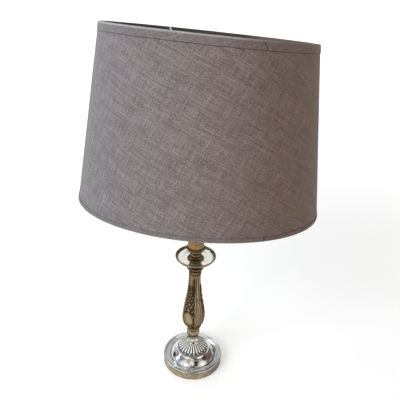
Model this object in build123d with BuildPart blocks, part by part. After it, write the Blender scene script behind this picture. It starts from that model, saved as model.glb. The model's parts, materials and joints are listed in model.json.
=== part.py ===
from build123d import *
import os
from math import atan2, cos, degrees, hypot, radians, sin, sqrt

# Candlestick table lamp: a round plated candlestick with a drip pan, a brass
# lampholder where the candle was, and a large leaning drum shade on a gimbal.
# Millimetres, +Z up, origin at the middle of the foot's underside.
os.makedirs("parts", exist_ok=True)

# ---------------------------------------------------------------- dimensions
felt_r = 51.5
felt_t = 1.5
rod_r = 5.0              # hollow threaded rod, M10
rod_bore = 3.4
rod_gap = 0.2            # pieces slipped over the rod
rod_top = 330.0
bead_n = 20              # beads of the gadrooned collar
petal_n = 28             # petals above them
knop_z = 42.2
neck_z = 216.3
pan_z = 229.8            # underside of the drip pan's floor
pan_t = 1.2
pan_r = 35.0
cup_z = 242.6            # underside of the candle cup
cup_lip_r = 16.4
plug_z = 254.5           # underside of the brass plug's visible body
plug_top = 270.7
plug_r = 13.95
riser_r = 9.9
holder_z = 318.0         # underside of the lampholder's cap
holder_r = 19.4          # outer thread of the lampholder sleeve
pivot_z = 354.1          # height of the shade's tilt axis
washer_t = 1.6
bush_z = 7.0             # cord inlet in the foot's skirt, at the back
bush_bore = 2.9

# shade: two circles whose planes lean away from upright
lean = (0.0478, 0.1595)  # lean of the lower ring and the gimbal, x and y slope
lean_mid = (0.0328, 0.1608)  # lean of the line through the two rings' centres
lean_top = (0.0674, 0.0733)  # lean of the upper ring
ring_shift = (1.8, -2.7)     # the lower ring sits a little off the gimbal's middle
shade_low_r = 185.0
shade_top_r = 156.75
shade_h = 248.2
fitter_drop = 6.0        # gimbal plane over the lower ring's plane
wall = 1.0
tape_t = 0.5
tape_top_h = 10.5
tape_low_h = 5.0
wire_r = 1.5
strut_r = 1.2
arm_r = 1.6
gimbal_r = 37.0
pin_r = 1.5
pin_gap = 0.05


def unit(v):
    n = sqrt(sum(c * c for c in v))
    return tuple(c / n for c in v)


n_low = unit((lean[0], lean[1], 1.0))
n_top = unit((lean_top[0], lean_top[1], 1.0))
pivot = (0.0, 0.0, pivot_z)
n_mid = unit((lean_mid[0], lean_mid[1], 1.0))
shift = (ring_shift[0], ring_shift[1], -ring_shift[0] * lean[0] - ring_shift[1] * lean[1])
low_c = tuple(p - n * fitter_drop + d for p, n, d in zip(pivot, n_low, shift))
top_c = tuple(p + n * shade_h for p, n in zip(low_c, n_mid))
tilt_axis = unit((-lean[1], lean[0], 0.0))
tilt_az = degrees(atan2(tilt_axis[1], tilt_axis[0]))


def leaning(center, n):
    return Plane(origin=center, x_dir=(n[2], 0, -n[0]), z_dir=n)


def shade_ring(t):
    """Centre, axis and outer radius of the shade at fraction t of its height."""
    c = tuple(a + (b - a) * t for a, b in zip(low_c, top_c))
    n = unit(tuple(a + (b - a) * t for a, b in zip(n_low, n_top)))
    return c, n, shade_low_r + (shade_top_r - shade_low_r) * t


def rim_point(t, r_off, az, along=0.0):
    c, n, r = shade_ring(t)
    pl = leaning(c, n)
    return pl.from_local_coords(((r + r_off) * cos(radians(az)), (r + r_off) * sin(radians(az)), along))


def turned(name, pts):
    """A solid of revolution about Z from a closed (radius, height) outline."""
    with BuildPart() as bp:
        with BuildSketch(Plane.XZ):
            with BuildLine():
                Polyline(*pts, close=True)
            make_face()
        revolve(axis=Axis.Z)
    bp.part.label = name
    return bp


def save(bp):
    export_step(bp.part, "parts/" + bp.part.label + ".step")


# ---------------------------------------------------------------- foot
with BuildPart() as foot_felt:
    with BuildSketch():
        Circle(felt_r)
    extrude(amount=felt_t)
foot_felt.part.label = "foot_felt"

# spun shell: skirt, raised plate rim, recess, dome and the collar's seat
shell_out = [(55.1, 0.8), (54.7, 4.0), (54.5, 8.5), (54.6, 12.3), (55.2, 13.3), (55.3, 14.2), (54.9, 15.0),
             (53.9, 15.35), (52.4, 15.1), (50.7, 14.0), (48.0, 12.9), (45.4, 12.3), (43.3, 12.2), (42.1, 13.0),
             (41.2, 14.8), (39.6, 17.7), (37.0, 20.8), (34.0, 23.6), (31.6, 25.5), (30.4, 26.6), (29.7, 27.9),
             (28.9, 28.4), (28.1, 28.1), (27.7, 27.5), (26.5, 27.4), (5.2, 27.4)]
shell_in = [(5.2, 26.3), (26.8, 26.3), (28.6, 26.2), (29.6, 25.4), (30.9, 24.4), (33.2, 22.7), (36.1, 20.0),
            (38.6, 17.0), (40.1, 14.2), (41.0, 12.1), (42.6, 11.1), (45.5, 11.1), (48.3, 11.8), (51.0, 12.8),
            (52.8, 13.8), (53.6, 13.4), (53.4, 8.5), (53.6, 4.0), (54.0, 0.8)]
with BuildPart() as foot_shell:
    with BuildSketch(Plane.XZ):
        with BuildLine():
            Polyline(*shell_out, *shell_in, close=True)
        make_face()
    revolve(axis=Axis.Z)
    # hole for the cord inlet in the skirt, at the back
    with BuildSketch(Plane(origin=(0, 60, bush_z), x_dir=(1, 0, 0), z_dir=(0, -1, 0))):
        Circle(4.0)
    extrude(amount=9.0, mode=Mode.SUBTRACT)
foot_shell.part.label = "foot_shell"

# loading weight that fills the shell, with a recess for the rod's nut and a
# channel for the wires to the inlet
with BuildPart() as foot_weight:
    with BuildSketch(Plane.XZ):
        with BuildLine():
            Polyline((14.0, 1.6), (51.0, 1.6), (51.6, 6.0), (51.6, 9.2), (46.0, 9.2), (41.0, 9.4), (39.4, 11.0), (38.4, 14.5),
                     (35.2, 19.2), (31.8, 22.2), (28.6, 24.4), (27.0, 25.9), (5.3, 25.9), (5.3, 15.0), (14.0, 15.0), close=True)
        make_face()
    revolve(axis=Axis.Z)
    with BuildSketch(Plane(origin=(0, 53, bush_z), x_dir=(1, 0, 0), z_dir=(0, -1, 0))):
        Circle(3.6)
    extrude(amount=42.0, mode=Mode.SUBTRACT)
    with BuildSketch(Plane(origin=(0, 53, bush_z), x_dir=(1, 0, 0), z_dir=(0, -1, 0))):
        Circle(5.0)
    extrude(amount=3.5, mode=Mode.SUBTRACT)
foot_weight.part.label = "foot_weight"

# flanged inlet bush in the skirt, empty
with BuildPart() as inlet_bush:
    with BuildSketch(Plane(origin=(0, 50.4, bush_z), x_dir=(-1, 0, 0), z_dir=(0, 1, 0))):
        Circle(4.45)
        Circle(bush_bore, mode=Mode.SUBTRACT)
    extrude(amount=1.6)
    with BuildSketch(Plane(origin=(0, 52.0, bush_z), x_dir=(-1, 0, 0), z_dir=(0, 1, 0))):
        Circle(3.9)
        Circle(bush_bore, mode=Mode.SUBTRACT)
    extrude(amount=5.0)
    chamfer(inlet_bush.edges().filter_by(GeomType.CIRCLE).group_by(Axis.Y)[-1].sort_by(SortBy.RADIUS)[-1], 0.5)
inlet_bush.part.label = "inlet_bush"

# ---------------------------------------------------------------- fasteners
with BuildPart() as threaded_rod:
    with BuildSketch(Plane.XY.offset(5.0)):
        Circle(rod_r)
        Circle(rod_bore, mode=Mode.SUBTRACT)
    extrude(amount=rod_top - 5.0)
    chamfer(threaded_rod.edges().filter_by(GeomType.CIRCLE).sort_by(SortBy.RADIUS)[-2:], 0.5)
threaded_rod.part.label = "threaded_rod"

with BuildPart() as rod_washer:
    with BuildSketch(Plane.XY.offset(13.3)):
        Circle(12.5)
        Circle(rod_r + rod_gap, mode=Mode.SUBTRACT)
    extrude(amount=1.6)
rod_washer.part.label = "rod_washer"

# the two hexagon nuts that pull the candlestick together share one node
with BuildPart() as rod_nuts:
    with BuildSketch(Plane.XY.offset(7.2)):
        RegularPolygon(9.2, 6)
        Circle(rod_r + 0.02, mode=Mode.SUBTRACT)
    extrude(amount=6.0)
    with BuildSketch(Plane.XY.offset(322.2)):
        RegularPolygon(8.6, 6)
        Circle(rod_r + 0.02, mode=Mode.SUBTRACT)
    extrude(amount=4.0)
rod_nuts.part.label = "rod_nuts"

# ---------------------------------------------------------------- candlestick
# gadrooned collar: a beaded band under a ring of fat petals
with BuildPart() as gadroon_collar:
    with BuildSketch(Plane.XZ):
        with BuildLine():
            Polyline((rod_r + rod_gap, 27.5), (26.9, 27.5), (27.0, 29.0), (25.6, 30.2), (25.0, 32.4), (25.3, 34.6), (24.6, 36.0),
                     (21.8, 38.2), (18.0, 40.2), (14.6, 41.6), (12.6, 42.1), (rod_r + rod_gap, 42.1), close=True)
        make_face()
    revolve(axis=Axis.Z)
    # a bead between every two arches of the band
    with Locations((0, 0, 33.0)):
        with PolarLocations(25.7, bead_n):
            Sphere(1.75)
    # petals: tapered ribs that run down the slope
    for k in range(petal_n):
        a = radians(360.0 / petal_n * (k + 0.5))
        foot = Vector(24.3 * cos(a), 24.3 * sin(a), 36.0)
        head = Vector(13.2 * cos(a), 13.2 * sin(a), 41.2)
        with Locations(Plane(origin=foot, z_dir=(head - foot))):
            Cone(2.3, 1.2, (head - foot).length, align=(Align.CENTER, Align.CENTER, Align.MIN))
gadroon_collar.part.label = "gadroon_collar"

# knop under the baluster: bell, waist, bead and ring
foot_knop = turned("foot_knop", [(rod_r + rod_gap, knop_z), (12.6, knop_z), (13.3, 43.4), (13.0, 45.2), (11.8, 47.4), (10.6, 49.6),
                                 (9.8, 52.4), (9.4, 56.0), (9.5, 60.0), (10.3, 62.4), (11.4, 65.2), (11.8, 68.6), (11.5, 71.6), (10.6, 74.2),
                                 (10.0, 75.8), (10.4, 77.0), (11.3, 77.9), (11.3, 79.2), (10.8, 80.1), (rod_r + rod_gap, 80.1)])

# three-sided baluster: three broad panels and three narrow ones between them
stem_sections = [(80.2, 11.0), (82.6, 13.2), (86.0, 15.8), (91.0, 18.1), (97.5, 19.8), (107.0, 20.9), (118.5, 20.2),
                 (134.0, 17.6), (148.0, 15.1), (162.0, 13.2), (176.0, 11.8), (188.0, 10.9), (200.5, 10.9)]
panel_half = 41.0
panel_turn = -3.0        # the first broad panel faces a little off +X
with BuildPart() as baluster:
    for z, r in stem_sections:
        with BuildSketch(Plane.XY.offset(z)):
            with BuildLine():
                for k in range(3):
                    a0 = 120.0 * k + panel_turn
                    p = [(r * cos(radians(a)), r * sin(radians(a))) for a in (a0 - panel_half, a0 + panel_half, a0 + 120.0 - panel_half)]
                    ThreePointArc(p[0], (0.93 * r * cos(radians(a0)), 0.93 * r * sin(radians(a0))), p[1])
                    ThreePointArc(p[1], (0.97 * r * cos(radians(a0 + 60.0)), 0.97 * r * sin(radians(a0 + 60.0))), p[2])
            make_face()
    loft()
    with BuildSketch(Plane.XY.offset(80.0)):
        Circle(rod_r + rod_gap)
    extrude(amount=121.0, mode=Mode.SUBTRACT)
    # hollow between its two ends
    with BuildSketch(Plane.XY.offset(86.0)):
        Circle(8.4)
    extrude(amount=108.0, mode=Mode.SUBTRACT)
baluster.part.label = "baluster"

stem_collar = turned("stem_collar", [(rod_r + rod_gap, 200.6), (10.9, 200.6), (10.7, 202.6), (11.1, 205.0), (12.1, 208.0), (13.5, 211.2),
                                     (14.8, 213.0), (15.0, 214.2), (14.4, 215.4), (13.0, 216.2), (rod_r + rod_gap, 216.2)])

pan_neck = turned("pan_neck", [(rod_r + rod_gap, neck_z), (12.4, neck_z), (10.8, 218.4), (10.2, 221.0), (10.8, 223.8), (12.8, 226.6),
                               (15.6, 228.6), (17.4, 229.3), (17.4, 229.7), (rod_r + rod_gap, 229.7)])

# shallow drip pan with a rolled rim
drip_pan = turned("drip_pan", [(rod_r + rod_gap, pan_z), (26.0, pan_z), (30.2, 230.3), (32.6, 232.0), (33.8, 234.2), (34.6, 235.0), (pan_r, 236.2),
                               (pan_r, 236.9), (34.4, 237.5), (33.6, 237.5), (32.9, 236.8), (32.2, 235.0), (31.2, 232.9), (29.6, 231.6),
                               (27.0, pan_z + pan_t), (rod_r + rod_gap, pan_z + pan_t)])

cup_knob = turned("cup_knob", [(rod_r + rod_gap, 231.1), (14.2, 231.1), (14.5, 231.9), (13.4, 232.7), (10.4, 233.3), (8.6, 234.3), (8.3, 235.6),
                               (9.2, 237.1), (9.9, 238.7), (9.8, 240.2), (8.8, 241.5), (7.6, 242.0), (7.3, 242.5), (rod_r + rod_gap, 242.5)])

# candle cup with a rope-twist lip
with BuildPart() as candle_cup:
    with BuildSketch(Plane.XZ):
        with BuildLine():
            Polyline((rod_r + rod_gap, cup_z), (7.4, cup_z), (9.8, 243.6), (12.0, 245.6), (13.3, 248.2), (13.8, 250.6), (14.6, 251.3),
                     (16.0, 251.7), (cup_lip_r, 252.8), (16.0, 253.9), (15.0, 254.3), (12.9, 254.3), (12.6, 253.6), (12.6, 247.0), (10.8, 245.2), (rod_r + rod_gap, 245.2), close=True)
        make_face()
    revolve(axis=Axis.Z)
candle_cup.part.label = "candle_cup"

# rubber sleeve that grips the plug in the cup
cup_sleeve = turned("cup_sleeve", [(10.6, 247.2), (12.5, 247.2), (12.5, 254.2), (10.6, 254.2)])

# brass plug: spigot in the cup, plain drum with a groove near its top
brass_plug = turned("brass_plug", [(rod_r + rod_gap, 247.4), (10.5, 247.4), (10.5, plug_z), (13.3, plug_z), (plug_r, 255.2), (plug_r, 264.6), (13.45, 265.1),
                                   (13.45, 265.7), (plug_r, 266.2), (plug_r, 269.6), (13.2, 270.5), (12.2, plug_top), (rod_r + rod_gap, plug_top)])

riser_tube = turned("riser_tube", [(rod_r + rod_gap, 270.8), (riser_r, 270.8), (riser_r, 317.9), (rod_r + rod_gap, 317.9)])

# ---------------------------------------------------------------- lampholder
holder_cap = turned("holder_cap", [(rod_r + rod_gap, holder_z), (9.0, holder_z), (12.4, 318.9), (16.0, 321.4), (18.6, 325.2), (19.9, 329.6),
                                   (20.3, 333.6), (20.3, 341.4), (19.3, 341.4), (19.3, 333.8), (18.8, 329.8), (17.6, 326.0), (15.4, 322.9), (12.0, 320.2),
                                   (8.8, 319.2), (rod_r + rod_gap, 319.2)])

with BuildPart() as holder_sleeve:
    with BuildSketch(Plane.XY.offset(342.0)):
        Circle(holder_r)
        Circle(holder_r - 1.0, mode=Mode.SUBTRACT)
    extrude(amount=34.0)
    with BuildSketch(Plane.XY.offset(336.0)):
        Circle(19.2)
        Circle(18.4, mode=Mode.SUBTRACT)
    extrude(amount=6.0)
    fillet(holder_sleeve.edges().filter_by(GeomType.CIRCLE).group_by(Axis.Z)[-1], 0.35)
holder_sleeve.part.label = "holder_sleeve"

# moulded insert: floor with two terminal pockets, well for the thread shell
with BuildPart() as holder_insert:
    with BuildSketch(Plane.XY.offset(334.6)):
        Circle(18.2)
    extrude(amount=36.4)
    with BuildSketch(Plane.XY.offset(346.0)):
        Circle(14.2)
    extrude(amount=26.0, mode=Mode.SUBTRACT)
    with BuildSketch(Plane.XY.offset(334.0)):
        with Locations((-9.5, 0), (9.5, 0)):
            Circle(3.3)
    extrude(amount=7.0, mode=Mode.SUBTRACT)
    with BuildSketch(Plane.XY.offset(334.0)):
        with Locations((0, -13.0), (0, 13.0)):
            Circle(1.7)
    extrude(amount=14.0, mode=Mode.SUBTRACT)
holder_insert.part.label = "holder_insert"

# terminal screws, two alike
with BuildPart() as terminal_screws:
    with BuildSketch(Plane.XY.offset(335.4)):
        with Locations((-9.5, 0), (9.5, 0)):
            Circle(3.1)
    extrude(amount=1.9)
    with BuildSketch(Plane.XY.offset(337.3)):
        with Locations((-9.5, 0), (9.5, 0)):
            Circle(1.6)
    extrude(amount=3.4)
    with BuildSketch(Plane.XY.offset(335.4)):
        with Locations((-9.5, 0), (9.5, 0)):
            Rectangle(4.6, 0.8)
    extrude(amount=0.8, mode=Mode.SUBTRACT)
terminal_screws.part.label = "terminal_screws"

# screw shell for the bulb
with BuildPart() as thread_shell:
    with BuildSketch(Plane.XY.offset(348.2)):
        Circle(14.0)
        Circle(13.2, mode=Mode.SUBTRACT)
    extrude(amount=22.0)
thread_shell.part.label = "thread_shell"

# springy centre contact, and the side contact in the well
with BuildPart() as centre_contact:
    with BuildSketch(Plane.XZ.offset(-3.0)):
        with BuildLine():
            Polyline((-10.0, 346.05), (-3.0, 346.05), (2.0, 349.6), (6.0, 349.6), (6.0, 350.1), (1.8, 350.1), (-3.2, 346.6), (-10.0, 346.6), close=True)
        make_face()
    extrude(amount=6.0)
centre_contact.part.label = "centre_contact"

# lower and upper shade rings on the sleeve's thread, knurled edges
def shade_nut(name, z, h):
    with BuildPart() as bp:
        with BuildSketch(Plane.XY.offset(z)):
            Circle(27.0)
            Circle(holder_r + 0.05, mode=Mode.SUBTRACT)
            with PolarLocations(27.4, 48):
                Circle(0.75, mode=Mode.SUBTRACT)
        extrude(amount=h)
    bp.part.label = name
    return bp


ring_gap = 0.06
shade_nut_low = shade_nut("shade_nut_low", pivot_z - washer_t / 2 - ring_gap - 5.0, 5.0)
shade_nut_top = shade_nut("shade_nut_top", pivot_z + washer_t / 2 + ring_gap, 4.2)

# ---------------------------------------------------------------- gimbal
washer_plane = Plane(origin=(0, 0, pivot_z - washer_t / 2), x_dir=(cos(radians(tilt_az)), sin(radians(tilt_az)), 0), z_dir=(0, 0, 1))
with BuildPart() as fitter_washer:
    with BuildSketch(washer_plane):
        Circle(25.0)
        Rectangle(64.4, 9.0)
        Circle(holder_r + 0.35, mode=Mode.SUBTRACT)
    extrude(amount=washer_t)
    # upright lugs that carry the pins
    for s in (-1, 1):
        lug = Plane(origin=(s * 30.6 * tilt_axis[0], s * 30.6 * tilt_axis[1], pivot_z), x_dir=(-s * tilt_axis[1], s * tilt_axis[0], 0),
                    z_dir=(s * tilt_axis[0], s * tilt_axis[1], 0))
        with BuildSketch(lug):
            RectangleRounded(9.0, 9.0, 3.0)
            Rectangle(9.0, washer_t)
        extrude(amount=1.6)
        with BuildSketch(lug.offset(-3.0)):
            Circle(pin_r + pin_gap)
        extrude(amount=6.0, mode=Mode.SUBTRACT)
        # relief so the pin's inner head turns clear of the washer
        with BuildSketch(lug.offset(-2.2)):
            Rectangle(7.4, 7.4)
        extrude(amount=2.2, mode=Mode.SUBTRACT)
fitter_washer.part.label = "fitter_washer"

fit_plane = leaning(pivot, n_low)
with BuildPart() as gimbal_ring:
    with BuildSketch(Plane(origin=tuple(p + gimbal_r * a for p, a in zip(pivot, tilt_axis)), x_dir=tilt_axis,
                           z_dir=unit((n_low[1] * tilt_axis[2] - n_low[2] * tilt_axis[1], n_low[2] * tilt_axis[0] - n_low[0] * tilt_axis[2],
                                       n_low[0] * tilt_axis[1] - n_low[1] * tilt_axis[0])))):
        Circle(arm_r)
    revolve(axis=Axis(pivot, n_low))
    for s in (-1, 1):
        pin = Plane(origin=(s * 29.3 * tilt_axis[0], s * 29.3 * tilt_axis[1], pivot_z), z_dir=(s * tilt_axis[0], s * tilt_axis[1], 0))
        with BuildSketch(pin):
            Circle(pin_r)
        extrude(amount=7.6)
        with BuildSketch(pin):
            Circle(2.6)
        extrude(amount=1.0)
gimbal_ring.part.label = "gimbal_ring"

# three arms from the gimbal to the lower ring, cranked down at the gimbal
arm_az = (90.0, 210.0, 330.0)
with BuildPart() as fitter_arms:
    for az in arm_az:
        a = fit_plane.from_local_coords(((gimbal_r + 0.6) * cos(radians(az)), (gimbal_r + 0.6) * sin(radians(az)), 0.0))
        b = fit_plane.from_local_coords((58.0 * cos(radians(az)), 58.0 * sin(radians(az)), 0.0))
        c = rim_point(0.0, -2.9, az, 1.0)
        with BuildLine():
            FilletPolyline(a, b, c, radius=30.0)
        with BuildSketch(Plane(origin=a, z_dir=(b - a))):
            Circle(arm_r - 0.2)
        sweep()
fitter_arms.part.label = "fitter_arms"

# ---------------------------------------------------------------- shade
def wire_ring(name, t, r_off, along, r_w):
    c, n, r = shade_ring(t)
    pl = leaning(c, n)
    o = pl.from_local_coords((0, 0, along))
    start = pl.from_local_coords((r + r_off, 0, along))
    with BuildPart() as bp:
        with BuildSketch(Plane(origin=start, x_dir=pl.x_dir, z_dir=pl.y_dir)):
            Circle(r_w)
        revolve(axis=Axis(o, n))
    bp.part.label = name
    return bp


lower_ring = wire_ring("lower_ring", 0.0, -2.9, 1.7, wire_r)
upper_ring = wire_ring("upper_ring", 1.0, -2.9, -1.7, wire_r)

# three struts hold the two rings apart; the first one stands at the far left
strut_az = (111.5, 231.5, 351.5)
with BuildPart() as shade_struts:
    for az in strut_az:
        a = rim_point(0.0, -3.0, az, 3.0)
        b = rim_point(1.0, -3.0, az, -3.0)
        with BuildSketch(Plane(origin=a, z_dir=(b - a))):
            Circle(strut_r)
        extrude(amount=(b - a).length)
shade_struts.part.label = "shade_struts"


def band(name, t0, t1, r_out, thick):
    """Closed wall between two circles of the shade, r_out beyond its face."""
    c0, n0, r0 = shade_ring(t0)
    c1, n1, r1 = shade_ring(t1)
    with BuildPart() as bp:
        with BuildSketch(leaning(c0, n0)):
            Circle(r0 + r_out)
        with BuildSketch(leaning(c1, n1)):
            Circle(r1 + r_out)
        loft()
        # the inner faces start a little beyond both rims
        k = 0.5 / (shade_h * (t1 - t0))
        cut = []
        for t, c, n, r in ((t0 - k * (t1 - t0), c0, n0, r0), (t1 + k * (t1 - t0), c1, n1, r1)):
            cc, nn, rr = shade_ring(t)
            cut.append((leaning(cc, nn), rr + r_out - thick))
        with BuildSketch(cut[0][0]):
            Circle(cut[0][1])
        with BuildSketch(cut[1][0]):
            Circle(cut[1][1])
        loft(mode=Mode.SUBTRACT)
    bp.part.label = name
    return bp


shade_fabric = band("shade_fabric", 0.0, 1.0, 0.0, wall)
tape_top = band("tape_top", 1.0 - tape_top_h / shade_h, 1.0, tape_t + 0.06, tape_t)
tape_low = band("tape_low", 0.0, tape_low_h / shade_h, tape_t + 0.06, tape_t)

# ---------------------------------------------------------------- bulb
# screw cap, glass envelope, and the insulated foot contact
bulb_cap = turned("bulb_cap", [(8.0, 355.6), (12.0, 355.6), (13.1, 357.0), (13.1, 374.0), (13.5, 374.6), (13.5, 378.6), (12.9, 379.4),
                               (12.3, 379.4), (12.3, 357.6), (8.0, 356.4)])
bulb_contact = turned("bulb_contact", [(0.0, 350.4), (3.4, 350.8), (4.8, 351.8), (5.2, 352.6), (7.8, 355.5), (7.8, 356.9), (0.0, 356.9)])
glass_curve = [(12.9, 379.6), (13.6, 384.0), (16.2, 392.0), (20.6, 401.0), (25.4, 410.0), (28.9, 419.0), (30.0, 427.0), (29.2, 436.0),
               (26.0, 445.0), (20.4, 451.8), (12.6, 455.4), (5.0, 456.6), (0.0, 456.8)]
glass_inner = [(12.0, 379.6), (12.7, 384.2), (15.3, 392.4), (19.7, 401.4), (24.5, 410.4), (28.0, 419.2), (29.1, 427.0), (28.3, 435.7),
               (25.3, 444.3), (19.9, 450.9), (12.3, 454.5), (4.9, 455.7), (0.0, 455.9)]
with BuildPart() as bulb_glass:
    with BuildSketch(Plane.XZ):
        with BuildLine():
            Spline(*glass_curve)
            Line(glass_curve[-1], glass_inner[-1])
            Spline(*glass_inner)
            Line(glass_inner[0], glass_curve[0])
        make_face()
    revolve(axis=Axis.Z)
bulb_glass.part.label = "bulb_glass"

for piece in (foot_felt, foot_shell, foot_weight, inlet_bush, threaded_rod, rod_washer, rod_nuts, gadroon_collar, foot_knop, baluster,
              stem_collar, pan_neck, drip_pan, cup_knob, candle_cup, cup_sleeve, brass_plug, riser_tube, holder_cap, holder_sleeve,
              holder_insert, terminal_screws, thread_shell, centre_contact, shade_nut_low, shade_nut_top, fitter_washer, gimbal_ring,
              fitter_arms, lower_ring, upper_ring, shade_struts, shade_fabric, tape_top, tape_low, bulb_cap, bulb_contact, bulb_glass):
    save(piece)
    print(piece.part.label, "solids", len(piece.part.solids()), "volume", round(piece.part.volume, 1))
print("tilt axis", tilt_axis, "lean", round(degrees(atan2(hypot(*lean), 1.0)), 2), "lower ring centre", low_c, "top ring centre", top_c)
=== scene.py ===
import json
import math
from math import atan2, cos, pi, radians, sin, sqrt

import bpy
import numpy as np
from mathutils import Matrix, Vector

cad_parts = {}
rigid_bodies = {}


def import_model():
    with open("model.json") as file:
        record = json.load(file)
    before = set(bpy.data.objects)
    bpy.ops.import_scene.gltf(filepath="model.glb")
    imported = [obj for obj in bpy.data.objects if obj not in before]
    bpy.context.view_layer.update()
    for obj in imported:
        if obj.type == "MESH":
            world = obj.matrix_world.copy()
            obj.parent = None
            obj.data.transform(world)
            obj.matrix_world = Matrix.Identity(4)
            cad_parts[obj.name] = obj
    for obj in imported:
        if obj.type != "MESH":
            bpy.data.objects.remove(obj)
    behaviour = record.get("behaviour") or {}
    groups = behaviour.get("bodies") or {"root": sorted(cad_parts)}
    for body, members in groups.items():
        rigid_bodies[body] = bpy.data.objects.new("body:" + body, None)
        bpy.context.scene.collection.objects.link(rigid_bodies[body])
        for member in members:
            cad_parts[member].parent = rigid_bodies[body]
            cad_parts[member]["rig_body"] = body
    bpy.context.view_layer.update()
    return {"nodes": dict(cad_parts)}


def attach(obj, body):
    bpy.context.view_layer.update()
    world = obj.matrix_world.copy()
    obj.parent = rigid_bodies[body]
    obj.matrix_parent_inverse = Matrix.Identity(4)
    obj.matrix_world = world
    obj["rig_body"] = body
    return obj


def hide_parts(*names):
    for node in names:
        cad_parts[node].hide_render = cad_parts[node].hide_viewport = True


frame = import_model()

scene = bpy.context.scene
scene.view_settings.view_transform = "Standard"
scene.view_settings.look = "None"
MM = 0.001


# ------------------------------------------------------------------ camera
def make_camera():
    data = bpy.data.cameras.new("camera")
    data.lens, data.sensor_width = 39.6, 36.0
    data.clip_start, data.clip_end = 0.01, 200.0
    obj = bpy.data.objects.new("camera", data)
    scene.collection.objects.link(obj)
    pitch, roll, yaw = radians(26.01), radians(2.07), radians(0.35)
    fwd = Vector((sin(yaw) * cos(pitch), cos(yaw) * cos(pitch), -sin(pitch)))
    right = Vector((cos(yaw), -sin(yaw), 0.0))
    up = right.cross(fwd)
    r = cos(roll) * right + sin(roll) * up
    u = -sin(roll) * right + cos(roll) * up
    m = Matrix((r, u, -fwd)).transposed().to_4x4()
    m.translation = (0.0, -0.6391, 0.6546)
    obj.matrix_world = m
    scene.camera = obj


make_camera()


# ------------------------------------------------------------------ noise and curves, all seeded
def value_noise(p, seed=0, octaves=3):
    """Smooth noise from -1 to 1 at points p (..., 3)."""
    p = np.asarray(p, float)
    out = np.zeros(p.shape[:-1])
    amp, tot = 1.0, 0.0
    for o in range(octaves):
        q = p * (2.0 ** o) + 17.3 * (o + 1) + seed * 3.71
        i = np.floor(q).astype(np.int64)
        f = q - i
        f = f * f * (3 - 2 * f)
        acc = 0.0
        for dx in (0, 1):
            for dy in (0, 1):
                for dz in (0, 1):
                    h = ((i[..., 0] + dx) * 374761393 + (i[..., 1] + dy) * 668265263 + (i[..., 2] + dz) * 2147483647 + seed * 1013904223) & 0x7FFFFFFF
                    h = (h ^ (h >> 13)) * 1274126177 & 0x7FFFFFFF
                    h = ((h ^ (h >> 16)) & 0xFFFFF) / float(0xFFFFF) * 2 - 1
                    w = (f[..., 0] if dx else 1 - f[..., 0]) * (f[..., 1] if dy else 1 - f[..., 1]) * (f[..., 2] if dz else 1 - f[..., 2])
                    acc = acc + w * h
        out += amp * acc
        tot += amp
        amp *= 0.5
    return out / tot


def catmull(pts, per=8):
    """A smooth run through the points, centripetal Catmull-Rom."""
    p = [np.array(q, float) for q in pts]
    if len(p) < 3:
        return p
    p = [2 * p[0] - p[1]] + p + [2 * p[-1] - p[-2]]
    out = []
    for k in range(1, len(p) - 2):
        p0, p1, p2, p3 = p[k - 1:k + 3]
        t0 = 0.0
        t1 = t0 + max(np.linalg.norm(p1 - p0), 1e-6) ** 0.5
        t2 = t1 + max(np.linalg.norm(p2 - p1), 1e-6) ** 0.5
        t3 = t2 + max(np.linalg.norm(p3 - p2), 1e-6) ** 0.5
        for i in range(per):
            t = t1 + (t2 - t1) * i / per
            a1 = (t1 - t) / (t1 - t0) * p0 + (t - t0) / (t1 - t0) * p1
            a2 = (t2 - t) / (t2 - t1) * p1 + (t - t1) / (t2 - t1) * p2
            a3 = (t3 - t) / (t3 - t2) * p2 + (t - t2) / (t3 - t2) * p3
            b1 = (t2 - t) / (t2 - t0) * a1 + (t - t0) / (t2 - t0) * a2
            b2 = (t3 - t) / (t3 - t1) * a2 + (t - t1) / (t3 - t1) * a3
            out.append((t2 - t) / (t2 - t1) * b1 + (t - t1) / (t2 - t1) * b2)
    out.append(p[-2])
    return out


def profile(runs, per=8, ease=0.12):
    """A closed outline from runs of points; each run is smooth inside and every
    place where two runs meet is a crisp corner with a hair of bevel."""
    smooth = [catmull(r, per) for r in runs]
    out = []
    n = len(smooth)
    for k, run in enumerate(smooth):
        nxt = smooth[(k + 1) % n]
        run = list(run)
        same_end = np.linalg.norm(run[-1] - nxt[0]) < 1e-6
        if same_end:
            d = run[-1] - run[-2]
            run[-1] = run[-1] - d / np.linalg.norm(d) * min(ease, 0.3 * np.linalg.norm(d))
            e = nxt[1] - nxt[0]
            nxt[0] = nxt[0] + e / np.linalg.norm(e) * min(ease, 0.3 * np.linalg.norm(e))
        out += run
    return np.array(out)


def rest(pts):
    return [tuple(p) for p in pts]


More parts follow.
